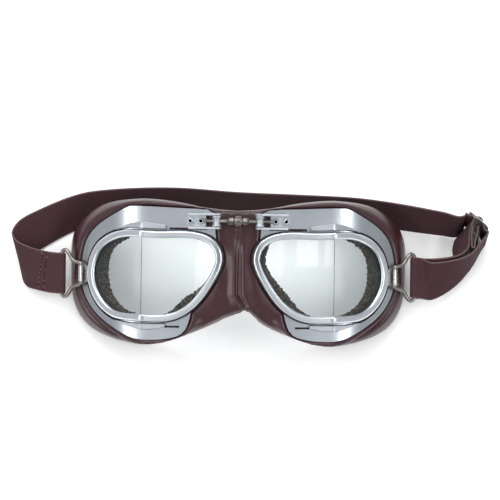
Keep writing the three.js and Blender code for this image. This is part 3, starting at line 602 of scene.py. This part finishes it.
def make_plate(side):
    """The pressed plate: drawn in beside the nose, its fold shaded as a wide bend."""
    first, last = 50 * MM, 77 * MM

    def shape(obj):
        cut_across(obj, [x * SIDES[side] for x in np.linspace(first, last, 10)])
        places = vertices(obj)
        upright = leaned(places)
        x, y = np.abs(upright[:, 0]), upright[:, 1]
        near_nose = ramp(x, 11.5, 9.5) * ramp(np.abs(y - 5), 12, 6)
        places[:, 0] += SIDES[side] * 2.2 * MM * near_nose
        corner_x, corner_y, corner_size = 14.2, 32.6, 1.6
        corner = np.exp(-((x - corner_x) ** 2 + (y - corner_y) ** 2) / corner_size ** 2)
        outwards = 0.9 * np.array((-SIDES[side], cos(LENS_TILT), sin(LENS_TILT)))
        places += corner[:, None] * outwards * MM
        move_vertices(obj, places)

    plate = eased(
        f"{side}_back_plate", f"{side}_plate_pressing", 0.28 * MM, angle=33, shape=shape, soft=70,
    )
    upright = LEAN.transposed()
    middle = on_pane(side, 50, EYE_HEIGHT, 0)
    mesh = plate.data
    normals = [corner.vector.copy() for corner in mesh.corner_normals]
    for face in mesh.polygons:
        facing = upright @ face.normal
        if facing.z < 0.3:
            continue
        for loop in face.loop_indices:
            x = abs(mesh.vertices[mesh.loops[loop].vertex_index].co.x)
            share = min(max((x - first) / (last - first), 0), 1)
            bend = FRONT_ANGLE + (SIDE_ANGLE - FRONT_ANGLE) * share * share * (3 - 2 * share)
            flat = sheet_normal(side, bend)
            lying = facing.z > 0.7 and abs(facing.y) < 0.1
            inward = (face.normal - flat).dot(middle - face.center) > 0
            if lying or inward:
                normals[loop] = flat
            else:
                normals[loop] = flat.lerp(normals[loop], 0.6).normalized()
    mesh.normals_split_custom_set(normals)
    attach(coated(plate, PLATE_SATIN, "satin_metal", f"{side}_back_plate"), f"{side}_eye")


def flatten_shading(obj, side, share):
    """Leans a pressing's shading towards the sheet that it lies on, away from its rib."""
    mesh = obj.data
    normals = [corner.vector.copy() for corner in mesh.corner_normals]
    for face in mesh.polygons:
        off_rib = abs(face.center.x) - SPLIT_X
        bend = FRONT_ANGLE if off_rib < 0 else SIDE_ANGLE
        flat = sheet_normal(side, bend)
        if abs(off_rib) < 1 * MM or face.normal.dot(flat) < 0.5:
            continue
        for loop in face.loop_indices:
            normals[loop] = normals[loop].lerp(flat, share).normalized()
    mesh.normals_split_custom_set(normals)


def make_frame(side):
    body = f"{side}_eye"
    make_plate(side)
    make_bezel(side)
    make_shade_line(side)
    make_pane(side, "front_lens")
    make_pane(side, "side_lens")
    for clip in ("upper_clip", "lower_clip"):
        pressing = eased(
            f"{side}_{clip}", f"{side}_{clip}_pressing", 0.16 * MM,
            shape=lambda obj: raise_crease(obj, side, 0.8 * MM, 0.35 * MM),
        )
        flatten_shading(pressing, side, 0.75)
        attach(coated(pressing, CLIP_POLISH, "satin_metal", f"{side}_{clip}"), body)
    bracket = eased(f"{side}_bridge_bracket", f"{side}_bracket_pressing", 0.07 * MM)
    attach(coated(bracket, BRACKET_SATIN, "satin_metal", f"{side}_bridge_bracket"), body)
    make_lug(side)
    ring = eased(f"{side}_retaining_ring", f"{side}_clamp_ring", 0.2 * MM)
    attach(coated(ring, RING_STEEL, "ring_steel", f"{side}_retaining_ring"), body)


def make_lug(side):
    """A tongue of sheet metal curled over the bail's wire."""
    out = LEAN @ Vector((cos(SIDE_ANGLE) * SIDES[side], 0, -sin(SIDE_ANGLE)))
    up = sheet_normal(side, SIDE_ANGLE)
    wire = on_side(side, LUG)
    tongue, radius, length = [(-3.6, -1.75), (-1.6, -1.75)], 1.45, 9 * MM
    bearings = [radians(a) for a in range(-100, 150, 20)]
    curl = tongue + [(radius * cos(a), radius * sin(a)) for a in bearings]
    places = [wire + out * (u * MM) + up * (h * MM) - BAR_WAY * (length / 2) for u, h in curl]
    obj = chain(f"{side}_lug_curl", places)
    edit(obj)
    bpy.ops.mesh.extrude_region_move(TRANSFORM_OT_translate={"value": BAR_WAY * length})
    bpy.ops.mesh.select_all(action="SELECT")
    bpy.ops.mesh.normals_make_consistent(inside=False)
    object_mode()
    modify(obj, "SOLIDIFY", thickness=0.6 * MM, offset=0, use_even_offset=True)
    bevel(obj, 0.15 * MM, 50)
    smooth(obj)
    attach(coated(obj, LUG_NICKEL, "satin_metal", f"{side}_temple_lug"), f"{side}_eye")


def make_bail(side):
    obj = from_cad(f"{side}_bail", f"{side}_bail_wire")
    modify(obj, "SUBSURF", levels=2, render_levels=2)
    swell(obj, 0.26 * MM)
    smooth(obj, 60)
    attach(coated(obj, WIRE_NICKEL, "nickel", f"{side}_bail"), f"{side}_bail")


# Bridge: eyelets, spool trunnions and the adjusting screw
def make_eyelets(side):
    rim = [(1.0, 0.45), (2.45, 0.45), (2.65, 0.3), (2.7, -0.1), (1.0, -0.1), (1.0, 0.45)]
    roll = [
        (1.85, 0.0), (1.85, 0.25), (1.6, 0.62), (1.25, 0.8), (0.95, 0.72), (0.82, 0.45),
        (0.78, 0.0), (0.7, -2.0), (0.0, -2.0),
    ]
    rivet_y, bracket_top, washer_top = 27.2, 1.1, 1.45
    rivets = {"inner": (20.4, bracket_top), "outer": (26.2, washer_top)}
    normal = sheet_normal(side)
    foot = on_pane(side, rivets["outer"][0], rivet_y, bracket_top)
    washer = turned(f"{side}_bracket_washer", rim, foot, normal, 32)
    smooth(washer, 30)
    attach(coated(washer, BRACKET_SATIN, "satin_metal"), f"{side}_eye")
    for which, (x, height) in rivets.items():
        foot = on_pane(side, x, rivet_y, height)
        eyelet = turned(f"{side}_{which}_eyelet", roll, foot, normal, 28)
        smooth(eyelet, 50)
        coated(eyelet, PLATE_SATIN, "nickel", f"{side}_{which}_rivet")
        eyelet.data.materials.append(BORE_SHADE)
        for face in eyelet.data.polygons:
            away = face.center - foot
            away -= normal * away.dot(normal)
            face.material_index = int(away.length < 0.8 * MM)
        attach(eyelet, f"{side}_eye")


def make_trunnion(side):
    half = [
        (2.0, 0.0), (2.02, 1.0), (2.25, 1.7), (2.5, 2.05), (2.5, 2.85), (2.35, 3.0), (0.95, 3.0),
        (0.95, 4.2), (0.75, 4.4), (0.0, 4.4),
    ]
    spool = turned(f"{side}_spool", both_ways(half), on_side(side, PIN), BAR_WAY, 36)
    smooth(spool, 35)
    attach(coated(spool, BRACKET_SATIN, "nickel", f"{side}_trunnion"), f"{side}_trunnion")


def make_screw():
    """A spindle with two six-sided collars and a wheel of four arms."""
    half = [
        (1.95, 0.0), (1.95, 1.55), (1.8, 2.1), (1.45, 2.2), (1.45, 2.4), (2.25, 2.7), (2.25, 5.1),
        (1.7, 5.7), (1.15, 5.9), (1.05, 6.1), (1.0, 18.7), (0.7, 19.3), (0.0, 19.4),
    ]
    collar_size, arm_length, first_arm = 1.98 * MM, 1.0 * MM, 15
    centre = Vector((0, PIN.y, PIN.z))
    screw = turned("adjusting_screw", both_ways(half), centre, (1, 0, 0), 24)
    places = vertices(screw)
    y, z = places[:, 1] - PIN.y, places[:, 2] - PIN.z
    reach = np.maximum(np.hypot(y, z), 1e-6)
    off_flat = (np.arctan2(z, y) - radians(first_arm) + pi / 6) % (pi / 3) - pi / 6
    on_collar = reach > 2.2 * MM
    scale = np.where(on_collar, collar_size / np.cos(off_flat) / reach, 1)
    places[:, 1] = PIN.y + y * scale
    places[:, 2] = PIN.z + z * scale
    move_vertices(screw, places)
    for quarter in range(4):
        bearing = radians(first_arm + 90 * quarter)
        arm = Vector((0, cos(bearing), sin(bearing)))

        def on_arm(face):
            out = face.center - Vector((face.center.x, PIN.y, PIN.z))
            on_wheel = abs(face.center.x) < 1.5 * MM and 1.8 * MM < out.length < 2.1 * MM
            return on_wheel and out.normalized().dot(arm) > cos(radians(28))

        edit_faces(screw, on_arm)
        bpy.ops.mesh.extrude_region_move(TRANSFORM_OT_translate={"value": arm * arm_length})
        object_mode()
    bevel(screw, 0.14 * MM, 38)
    smooth(screw, 35)
    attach(coated(screw, SCREW_NICKEL, "nickel", "bridge_screw"), "bridge_screw")


# Mask: one moulding, softened and cut where the bridge moves
def make_mask():
    nodes = ["mask_left_cup", "mask_right_cup", "mask_nose_bridge"]
    copies = [from_cad(node, f"{node}_skin") for node in nodes]
    nose_end, overlap = 9.7 * MM, 1.2 * MM
    nose = vertices(copies[2])
    at_end = np.abs(nose[:, 0]) > nose_end
    nose[:, 0] += np.where(at_end, np.sign(nose[:, 0]) * overlap, 0)
    move_vertices(copies[2], nose)
    mask = copies[0]
    activate(mask)
    for other in copies[1:]:
        other.select_set(True)
    bpy.ops.object.join()
    modify(mask, "REMESH", mode="VOXEL", voxel_size=0.7 * MM)
    modify(mask, "SMOOTH", factor=0.5, iterations=10)
    shape_mask(mask)
    modify(mask, "SMOOTH", factor=0.4, iterations=2)
    cuts = {
        "mask_left": (None, -PLEAT_X, "left_trunnion", "left_eye", (-3.5, -10), ["mask_left_cup"]),
        "nose_left": (-PLEAT_X, 0, "nose_bridge", "left_trunnion", (0, -3.5), ["mask_nose_bridge"]),
        "nose_right": (0, PLEAT_X, "nose_bridge", "right_trunnion", (0, 3.5), ["mask_nose_bridge"]),
        "mask_right": (PLEAT_X, None, "right_trunnion", "right_eye", (3.5, 10), ["mask_right_cup"]),
    }
    for name, (low, high, first, second, reach, replaced) in cuts.items():
        piece = linked(name, mask.data.copy())
        for place, way in ((low, -1), (high, 1)):
            if place is None:
                continue
            edit(piece)
            bpy.ops.mesh.bisect(
                plane_co=(place, 0, 0), plane_no=(way, 0, 0), use_fill=True, clear_outer=True,
                threshold=1e-7,
            )
            object_mode()
        smooth(piece, 60)
        coated(piece, RUBBER, "mask_rubber", *replaced)
        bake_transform(piece)
    bpy.data.objects.remove(mask)


PLATE_EDGE = [
    (87.6, -2), (84.6, 16), (78.2, 24.4), (64, 33.4), (60.4, 35), (56, 35.2), (36, 34.4),
    (18, 33.5), (14, 32.6), (12.6, 30.5), (12.3, 18), (8.8, 6), (15.8, -9.6), (25, -21.6),
    (26.6, -28), (28.6, -33), (32, -36), (46, -38.5), (59, -37.2), (78.2, -25), (85.6, -13.7),
    (87.6, -2),
]


def plate_distance(x, y):
    """How far points lie from the plate's outline, straight on, in millimetres."""
    corners, steps = [Vector((*p, 0)) for p in PLATE_EDGE], 160
    outline = [curve_point(corners, i / steps) for i in range(steps)]
    best = np.full(len(x), 1e9)
    for a, b in zip(outline, outline[1:] + outline[:1]):
        edge = np.array((b.x - a.x, b.y - a.y))
        length = max(float(edge @ edge), 1e-9)
        share = np.clip(((x - a.x) * edge[0] + (y - a.y) * edge[1]) / length, 0, 1)
        best = np.minimum(best, np.hypot(x - a.x - share * edge[0], y - a.y - share * edge[1]))
    return best


def shape_mask(mask):
    """Rolled rim and groove round the plates, and the pleats and notch of the nose."""
    places = vertices(mask)
    normals = normals_of(mask)
    signed, y = leaned(places)[:, :2].T
    x = np.abs(signed)
    front = ramp(frontness(normals), 0, 0.5)
    away = plate_distance(x, y)
    lower = ramp(y, 2, -12) * ramp(x, 24, 38)
    ridge_at, groove_at, half_width = 1.6, 3.5, 0.9
    ridge = 1.2 * np.exp(-((away - ridge_at) / half_width) ** 2)
    groove = -1.9 * np.exp(-((away - groove_at) / half_width) ** 2)
    nose = np.clip(1 - (x / 15) ** 2, 0, 1) * ramp(y, 20, 8) * ramp(y, -30, -17)
    pleat_at = [-15, -8, -5.8, -2.2, -0.9, 1.3, 2.6, 4, 9, 15]
    pleat_height = [0, 0.3, 0.5, 2.1, 0.3, 1.9, 0.2, 0.0, 0.3, 0]
    pleats = np.interp(signed, pleat_at, pleat_height)
    lift = (lower * (ridge + groove) + nose * pleats) * front * MM
    notch = np.exp(-(signed / 9) ** 2) * ramp(y, -13, -21)
    places = places + normals * lift[:, None]
    places[:, 0] += 4.2 * MM * notch
    places[:, 1] += 0.8 * MM * notch
    move_vertices(mask, places)


# Felt in the cups: between which bearings, in degrees from the temple over the top, it stands
# in, and how far
FELT_PADS = {
    "left": [(186, 228, 2.6), (222, 280, -1.8)],
    "right": [(140, 222, 3.8), (222, 280, -1.8)],
}


def make_lining(side):
    node = f"{side}_lining"
    felt = from_cad(node, f"{side}_felt")
    modify(felt, "REMESH", mode="VOXEL", voxel_size=0.8 * MM)
    modify(felt, "SMOOTH", factor=0.5, iterations=3)
    places = vertices(felt)
    rng = np.random.default_rng(7)
    upright = leaned(places)
    out = np.stack([np.abs(upright[:, 0]) - SPLIT, upright[:, 1] - EYE_HEIGHT], axis=1)
    bearing = np.degrees(np.arctan2(out[:, 1], out[:, 0])) % 360
    out /= np.linalg.norm(out, axis=1)[:, None]
    inset = np.zeros(len(places))
    for low, high, depth in FELT_PADS[side]:
        inset += depth * ramp(bearing, low, low + 20) * ramp(bearing, high, high - 20)
    inset -= 1.6 * ramp(out[:, 0], 0.5, 1)
    x, y = SIDES[side] * out[:, 0], out[:, 1]
    outwards = np.stack([x, y * cos(LENS_TILT), y * sin(LENS_TILT)], axis=1)
    places -= outwards * inset[:, None] * MM
    places += rng.normal(0, 0.26 * MM, places.shape)
    move_vertices(felt, places)
    smooth(felt, 80)
    coated(felt, FELT, "felt", node)
    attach(felt, f"{side}_eye")


# Strap: ribbons through stations in millimetres. Radii and gaps are those of the solids.
BAIL_RADIUS, SLIDER_RADIUS, HALF_PLY = 0.9, 0.7, 0.6
BAIL_GAP, SLIDER_GAP = 0.3, 0.42
BAR_X = BAR.x / MM
LEFT_BAR = on_side("left", BAR)
LAP_WAY = Vector((-0.95, 0.09, -0.3)).normalized()
LAP_UP = BAR_WAY.cross(LAP_WAY).normalized()
SLIDER_CENTRE = Vector((BAR_X + 36, 38.5, 13.5)) * MM
SLIDER_HALF = 12.8 / 2
SLIDER_TURN = radians(42)
SLIDER_WAY = Vector((-cos(SLIDER_TURN), sin(SLIDER_TURN), 0))
SLIDER_OUT = Vector((sin(SLIDER_TURN), cos(SLIDER_TURN), 0))
THREAD_OUT = SLIDER_RADIUS + HALF_PLY + SLIDER_GAP


def station(place, way):
    return Vector(place) * MM, Vector(way).normalized()


def ribbon(name, stations, steps, first=0.0, last=1.0, nodes=()):
    """A woven strip through stations, each a lower edge's place and the width's direction."""
    across, whole, edge_thickness, edge_slope = 12, 400, 0.3, 40
    lows = [low for low, way in stations]
    highs = [low + way * STRAP_WIDTH for low, way in stations]
    shares = [first + (last - first) * i / steps for i in range(steps + 1)]
    rows = [(curve_point(lows, t), curve_point(highs, t)) for t in shares]
    fine = [i / whole for i in range(whole + 1)]
    track = [(curve_point(lows, t) + curve_point(highs, t)) / 2 for t in fine]
    lead = [0.0]
    for a, b in zip(track, track[1:]):
        lead.append(lead[-1] + (b - a).length)
    bpy.ops.object.select_all(action="DESELECT")
    bpy.ops.mesh.primitive_grid_add(
        x_subdivisions=steps, y_subdivisions=across, size=1, calc_uvs=True,
    )
    obj = bpy.context.object
    obj.name = name
    obj.data.name = name
    places = vertices(obj)
    uv = obj.data.uv_layers[0]
    uv.name = "weave"
    index = np.rint((places[:, 0] + 0.5) * steps).astype(int)
    selvedge = [0, 1 / across, 2 / across, 1 - 2 / across, 1 - 1 / across, 1]
    width = np.interp(places[:, 1] + 0.5, selvedge, [0, 0.015, 0.05, 0.95, 0.985, 1])
    along = np.array([np.interp(t, np.linspace(0, 1, whole + 1), lead) for t in shares])
    low = np.array([r[0] for r in rows])[index]
    high = np.array([r[1] for r in rows])[index]
    move_vertices(obj, low + (high - low) * width[:, None])
    for loop in obj.data.loops:
        v = loop.vertex_index
        uv.data[loop.index].uv = (along[index[v]], width[v] * STRAP_WIDTH)
    body = obj.vertex_groups.new(name="body")
    for i, share in enumerate(width):
        body.add([i], min(1.0, edge_thickness + edge_slope * min(share, 1 - share)), "REPLACE")
    modify(
        obj, "SOLIDIFY", thickness=STRAP_THICKNESS, offset=0, use_even_offset=True,
        vertex_group="body", thickness_vertex_group=0.0,
    )
    smooth(obj, 60)
    return coated(obj, ELASTIC, "elastic", *nodes), float(along[-1] - along[0])


def lap_rise(along):
    """How far the sewn end climbs as it leaves the bar, in millimetres."""
    return 0.008 * max(along, 0) ** 2


def back_stations():
    """The band behind the mask, from the sewn end's upper ply to the slider."""
    lap_end = lap_stations()[0][0]
    return [
        (lap_end, BAR_WAY),
        station((-BAR_X - 19.6, 1.2, 6.2), (0.5, 20.5, 8.5)),
        station((-BAR_X - 22.6, 6.6, 2.6), (-3, 17.5, 11)),
        station((-BAR_X - 23, 13, 0.8), (-5.6, 17, 12)),
        station((-BAR_X - 19.6, 19.6, 0.7), (-5.4, 16.5, 12)),
        station((-BAR_X - 11.4, 26.2, 0.6), (-2, 17.5, 12.5)),
        station((-BAR_X + 9, 37.4, 0.6), (0, 15, 16)),
        station((-BAR_X + 27, 41.5, 0.6), (0, 13.5, 17.5)),
        station((-37, 46, 0.6), (0, 10, 20)),
        station((0, 48.3, 0.6), (0, 5, 22)),
        station((34, 47.2, 0.6), (0, 5, 22)),
        station((67, 43.8, 0.6), (0, 7, 21)),
        station((BAR_X - 8, 39.3, 0.6), (0, 8.6, 20.5)),
        station((BAR_X + 8, 37.2, 0.6), (0, 7.8, 21)),
        station((BAR_X + 17, 36.2, 0.6), (0.3, 7, 21.6)),
        station((BAR_X + 25, 35.4, 0.9), (0.4, 5.4, 22)),
        station((BAR_X + 28.6, 39.3, 1.5), (0.2, 2.4, 22.7)),
        along_slider(SLIDER_HALF + 1.6, -THREAD_OUT),
    ]


def along_slider(along, out):
    place = SLIDER_CENTRE + SLIDER_WAY * (along * MM) + SLIDER_OUT * (out * MM)
    return place - Vector((0, 0, STRAP_WIDTH / 2)), Vector((0, 0, 1))


def loop_stations():
    """The right end: from under itself, round the bail's bar and on through the slider."""
    half = SLIDER_HALF
    out = Vector((cos(radians(25)), 0, -sin(radians(25))))
    front = out.cross(BAR_WAY).normalized()
    turn = (BAIL_RADIUS + BAIL_GAP + HALF_PLY) * MM

    def round_bar(along, towards):
        place = BAR + out * (along * turn) + front * (towards * turn) - BAR_WAY * (STRAP_WIDTH / 2)
        return place, BAR_WAY

    return [
        station((122.3, 23.0, 1.2), (7.3, 1.4, 21.8)),
        station((121.6, 19, 1.4), (6.6, 2.6, 21.6)),
        station((119, 12.5, 2.4), (5, 5.6, 21)),
        station((BAR_X + 12.5, 3.2, 5.8), (1, 11.6, 17.6)),
        round_bar(2.2, -1.1),
        round_bar(0, -1),
        round_bar(-0.71, -0.71),
        round_bar(-1, 0),
        round_bar(-0.71, 0.71),
        round_bar(0, 1),
        round_bar(2.2, 1.1),
        station((BAR_X + 10, -4.4, 9.6), (-1, 17, 13)),
        station((BAR_X + 22.4, 3.9, 5), (-4, 9.7, 19)),
        station((BAR_X + 32.5, 16, 2), (-2, 2, 22)),
        station((BAR_X + 38.6, 27, 1), (-0.5, 0, 23)),
        along_slider(-half - 2, -THREAD_OUT * 0.9),
        along_slider(-half, -THREAD_OUT),
        along_slider(-half / 2, 0),
        along_slider(0, THREAD_OUT),
        along_slider(half / 2, 0),
        along_slider(half, -THREAD_OUT),
        along_slider(half + 1.7, -THREAD_OUT),
    ]


def fold_stations():
    """The loop's inner ply where it climbs to the slider."""
    return loop_stations()[1::-1] + [
        station((121.9, 27.5, 1.2), (8.2, 2.6, 21.8)),
        station((123.4, 33.2, 1.2), (8, 3.2, 22)),
        station((127.6, 37.8, 1.6), (5, 2, 22.4)),
    ]


def tail_stations():
    """The sewn tail below the slider: down one ply, round its rolled hem and up the other."""
    hem_x, hem_y, hem_radius = 131.8, 23.6, 1.0
    bearings = [radians(a) for a in (40, -20, -80, -140, -200)]
    roll = [(hem_x + hem_radius * cos(a), hem_y + hem_radius * sin(a)) for a in bearings]
    down = [(134.8, 35.2), (134.2, 31), (133.0, 26.8)]
    up = [(130.9, 26.6), (131.0, 30.5), (131.6, 35.0)]
    return [station((x + 1.2, y - 0.6, 1.6), (-1.2, 0.6, 22.4)) for x, y in down + roll + up]


def lap_stations():
    """The sewn left end: over the bar and back under itself."""
    over = [(14.8, 0.62), (9, 0.62), (4.6, 0.95), (1.6, 1.62), (0, 1.75), (-1.24, 1.24)]
    under = [(along, -height) for along, height in reversed(over)]
    edge = -BAR_WAY * (STRAP_WIDTH / 2)

    def at(along, height):
        rise = BAR_WAY * (lap_rise(along) * MM)
        place = LEFT_BAR + LAP_WAY * (along * MM) + LAP_UP * (height * MM) + rise + edge
        return place, BAR_WAY

    return [at(along, height) for along, height in over + [(-1.75, 0)] + under]


def make_strap():
    """Bands cut where the joints need it: at which of the stations, and how far each would bend."""
    back, loop_way = back_stations(), loop_stations()
    parts = {
        "strap_left_side": (0, 7.4, "left_eye", "left_trunnion", (-104, -62), 60),
        "strap_left_middle": (7.4, 9, "left_trunnion", "nose_bridge", (-60, 0), 24),
        "strap_right_middle": (9, 10.8, "nose_bridge", "right_trunnion", (0, 60), 24),
        "strap_right_side": (10.8, 14, "right_trunnion", "right_eye", (62, 100), 42),
        "strap_slider_lead": (14, 17, "right_eye", "strap_slider", (116.5, 127), 24),
    }
    end = len(back) - 1
    for name, (first, last, a, b, reach, steps) in parts.items():
        piece, length = ribbon(name, back, steps, first / end, last / end, ["strap_back"])
        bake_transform(piece)
    lap, length = ribbon("strap_sewn_end", lap_stations(), 72, nodes=["strap_left_end"])
    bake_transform(lap)
    cut, solid = 13 / (len(loop_way) - 1), ["strap_right_loop"]
    loop, length = ribbon("strap_adjusting_loop", loop_way, 96, 0, cut, solid)
    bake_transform(loop)
    turn, length = ribbon("strap_slider_turn", loop_way, 60, cut, 1, solid)
    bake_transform(turn)


def make_tail():
    """The plies beside the slider that the solids leave out."""
    fold, length = ribbon("strap_end_fold", fold_stations(), 36, 0.25)
    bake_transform(fold)
    tail, length = ribbon("strap_hemmed_tail", tail_stations(), 60)
    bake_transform(tail)


def make_stitches():
    """Two zigzag rows of thread through the sewn left end."""
    steps, swing, slant, span = 30, 0.55, 2.2, 22.2
    for row, along in (("first", 9.8), ("second", 12.6)):
        data = bpy.data.curves.new(f"{row}_stitch_row", "CURVE")
        data.dimensions = "3D"
        data.bevel_depth = 0.27 * MM
        data.bevel_resolution = 1
        spline = data.splines.new("POLY")
        spline.points.add(steps)
        for i, point in enumerate(spline.points):
            share = i / steps
            place = along + slant / 2 - slant * share + (0, swing, 0, -swing)[i % 4]
            height = 1.3 if i % 2 == 0 else 1.0
            spot = LEFT_BAR + LAP_WAY * (place * MM) + LAP_UP * (height * MM)
            spot += BAR_WAY * ((lap_rise(place) - span / 2 + span * share) * MM)
            point.co = (*spot, 1)
        activate(linked(f"{row}_stitch_row", data))
        bpy.ops.object.convert(target="MESH")
        thread = bpy.context.object
        smooth(thread, 60)
        coated(thread, THREAD, "elastic")
        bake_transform(thread)


def make_slider():
    obj = from_cad("strap_slider", "slider_wire")
    modify(obj, "SUBSURF", levels=1, render_levels=1)
    swell(obj, 0.15 * MM)
    smooth(obj, 60)
    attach(coated(obj, SLIDER_NICKEL, "nickel", "strap_slider"), "strap_slider")


# Stage: the camera sees the frames' middle a little off its own, and the panes mirror windows
PHOTO_SIZE, PHOTO_MIDDLE, PIXELS_PER_MM = 500, (238, 271.2), 1.82
ELEVATION, ROLL = radians(74), radians(0.75)
OVERHEAD = Vector((0, -cos(ELEVATION), sin(ELEVATION)))
GLASS_TOP = 2.3
WINDOW_DISTANCE = 1.35
WINDOWS = {
    "left_window_bar": ("left", (19.2, 20.9), (-19, 19), 3.6),
    "left_window": ("left", (11.5, 17.6), (-19, 19), 1.9),
    "right_window": ("right", (32.4, 44), (3, 19), 2.2),
    "right_window_edge": ("right", (47.8, 52.6), (3, 19), 2.2),
    "right_window_bar": ("right", (21, 24.5), (-2, 19), 1.1),
}


def make_stage():
    bpy.ops.mesh.primitive_plane_add(size=6, location=(0, 0, -0.00015))
    floor = bpy.context.object
    floor.name = "pale_floor"
    floor.data.materials.append(pale_floor())
    light_room()
    softbox("key_softbox", (-0.2, 0.95, 1.2), 1.5, 0.8, 15.0)
    softbox("left_strip", (-0.77, -0.28, 0.97), 0.2, 1.0, 5.4)
    softbox("right_strip", (0.77, -0.28, 0.97), 0.2, 1.0, 5.4)
    camera = make_camera()
    for name, (side, across, along, glow) in WINDOWS.items():
        spots = [mirrored(camera.location, side, x, y) for x in across for y in along]
        window(name, spots, on_pane(side, 30, 0, 2), glow)
    bpy.context.scene.view_settings.view_transform = "Standard"


def make_camera():
    camera = linked("camera", bpy.data.cameras.new("camera"))
    camera.data.sensor_width = 36
    camera.data.lens = 200
    camera.data.clip_end = 20
    half = PHOTO_SIZE / 2
    aside = (half - PHOTO_MIDDLE[0]) / PIXELS_PER_MM * MM
    above = (PHOTO_MIDDLE[1] - half) / PIXELS_PER_MM * MM
    up = Vector((0, sin(ELEVATION), cos(ELEVATION)))
    aim = Vector((aside, 0, STAND_HEIGHT)) + up * above
    distance = PHOTO_SIZE / PIXELS_PER_MM * MM * camera.data.lens / camera.data.sensor_width
    camera.location = aim + OVERHEAD * distance
    turn = Matrix.Rotation(pi / 2 - ELEVATION, 3, "X") @ Matrix.Rotation(ROLL, 3, "Z")
    camera.rotation_euler = turn.to_euler()
    bpy.context.scene.camera = camera
    return camera


def light_room():
    """An even, pale room with a dark patch overhead, where the photographer stands."""
    world = bpy.data.worlds.new("studio")
    bpy.context.scene.world = world
    world.use_nodes = True
    tree = world.node_tree
    background = tree.nodes["Background"]
    background.inputs["Color"].default_value = (0.97, 0.985, 1.0, 1)
    way = tree.nodes.new("ShaderNodeTexCoord")
    towards = tree.nodes.new("ShaderNodeVectorMath")
    towards.operation = "DOT_PRODUCT"
    towards.inputs[1].default_value = OVERHEAD
    patch = tree.nodes.new("ShaderNodeMapRange")
    patch.interpolation_type = "SMOOTHSTEP"
    edge, core = cos(radians(15)), cos(radians(7))
    limits = {"From Min": edge, "From Max": core, "To Min": 0.48, "To Max": 0.08}
    for name, value in limits.items():
        patch.inputs[name].default_value = value
    tree.links.new(way.outputs["Generated"], towards.inputs[0])
    tree.links.new(towards.outputs["Value"], patch.inputs["Value"])
    tree.links.new(patch.outputs[0], background.inputs["Strength"])


def mirrored(eye, side, x, y):
    """The place, at a window's distance, that a pane shows by reflection to an eye."""
    spot = on_pane(side, x, y, GLASS_TOP)
    sight = (spot - eye).normalized()
    return spot + sight.reflect(sheet_normal(side)) * WINDOW_DISTANCE


def aligned(right, back):
    """The rotation of a lamp from the ways that its width and its back point."""
    return Matrix((right, back.cross(right), back)).transposed().to_euler()


def softbox(name, place, width, height, power):
    """A lamp that shines at the goggles."""
    light = bpy.data.lights.new(name, "AREA")
    light.shape = "RECTANGLE"
    light.size = width
    light.size_y = height
    light.energy = power
    obj = linked(name, light)
    obj.location = place
    back = (Vector(place) - Vector((0, 0, 0.03))).normalized()
    right = Vector((0, 1, 0)).cross(back).normalized()
    obj.rotation_euler = aligned(right, back)
    return obj


def window(name, spots, target, glow):
    """A lamp whose corners are the spots, shining at a target."""
    across = (spots[2] - spots[0] + spots[3] - spots[1]) / 2
    along = (spots[1] - spots[0] + spots[3] - spots[2]) / 2
    middle = sum(spots, Vector()) / 4
    right = across.normalized()
    back = right.cross(along).normalized()
    if back.dot(middle - target) < 0:
        right, back = -right, -back
    width, height = across.length, along.length
    lamp = softbox(name, middle, width, height, glow * pi * width * height)
    lamp.rotation_euler = aligned(right, back)


for side in SIDES:
    make_frame(side)
    make_eyelets(side)
    make_trunnion(side)
    make_bail(side)
    make_lining(side)
make_screw()
make_mask()
make_strap()
make_tail()
make_stitches()
make_slider()
make_stage()

bpy.context.view_layer.update()
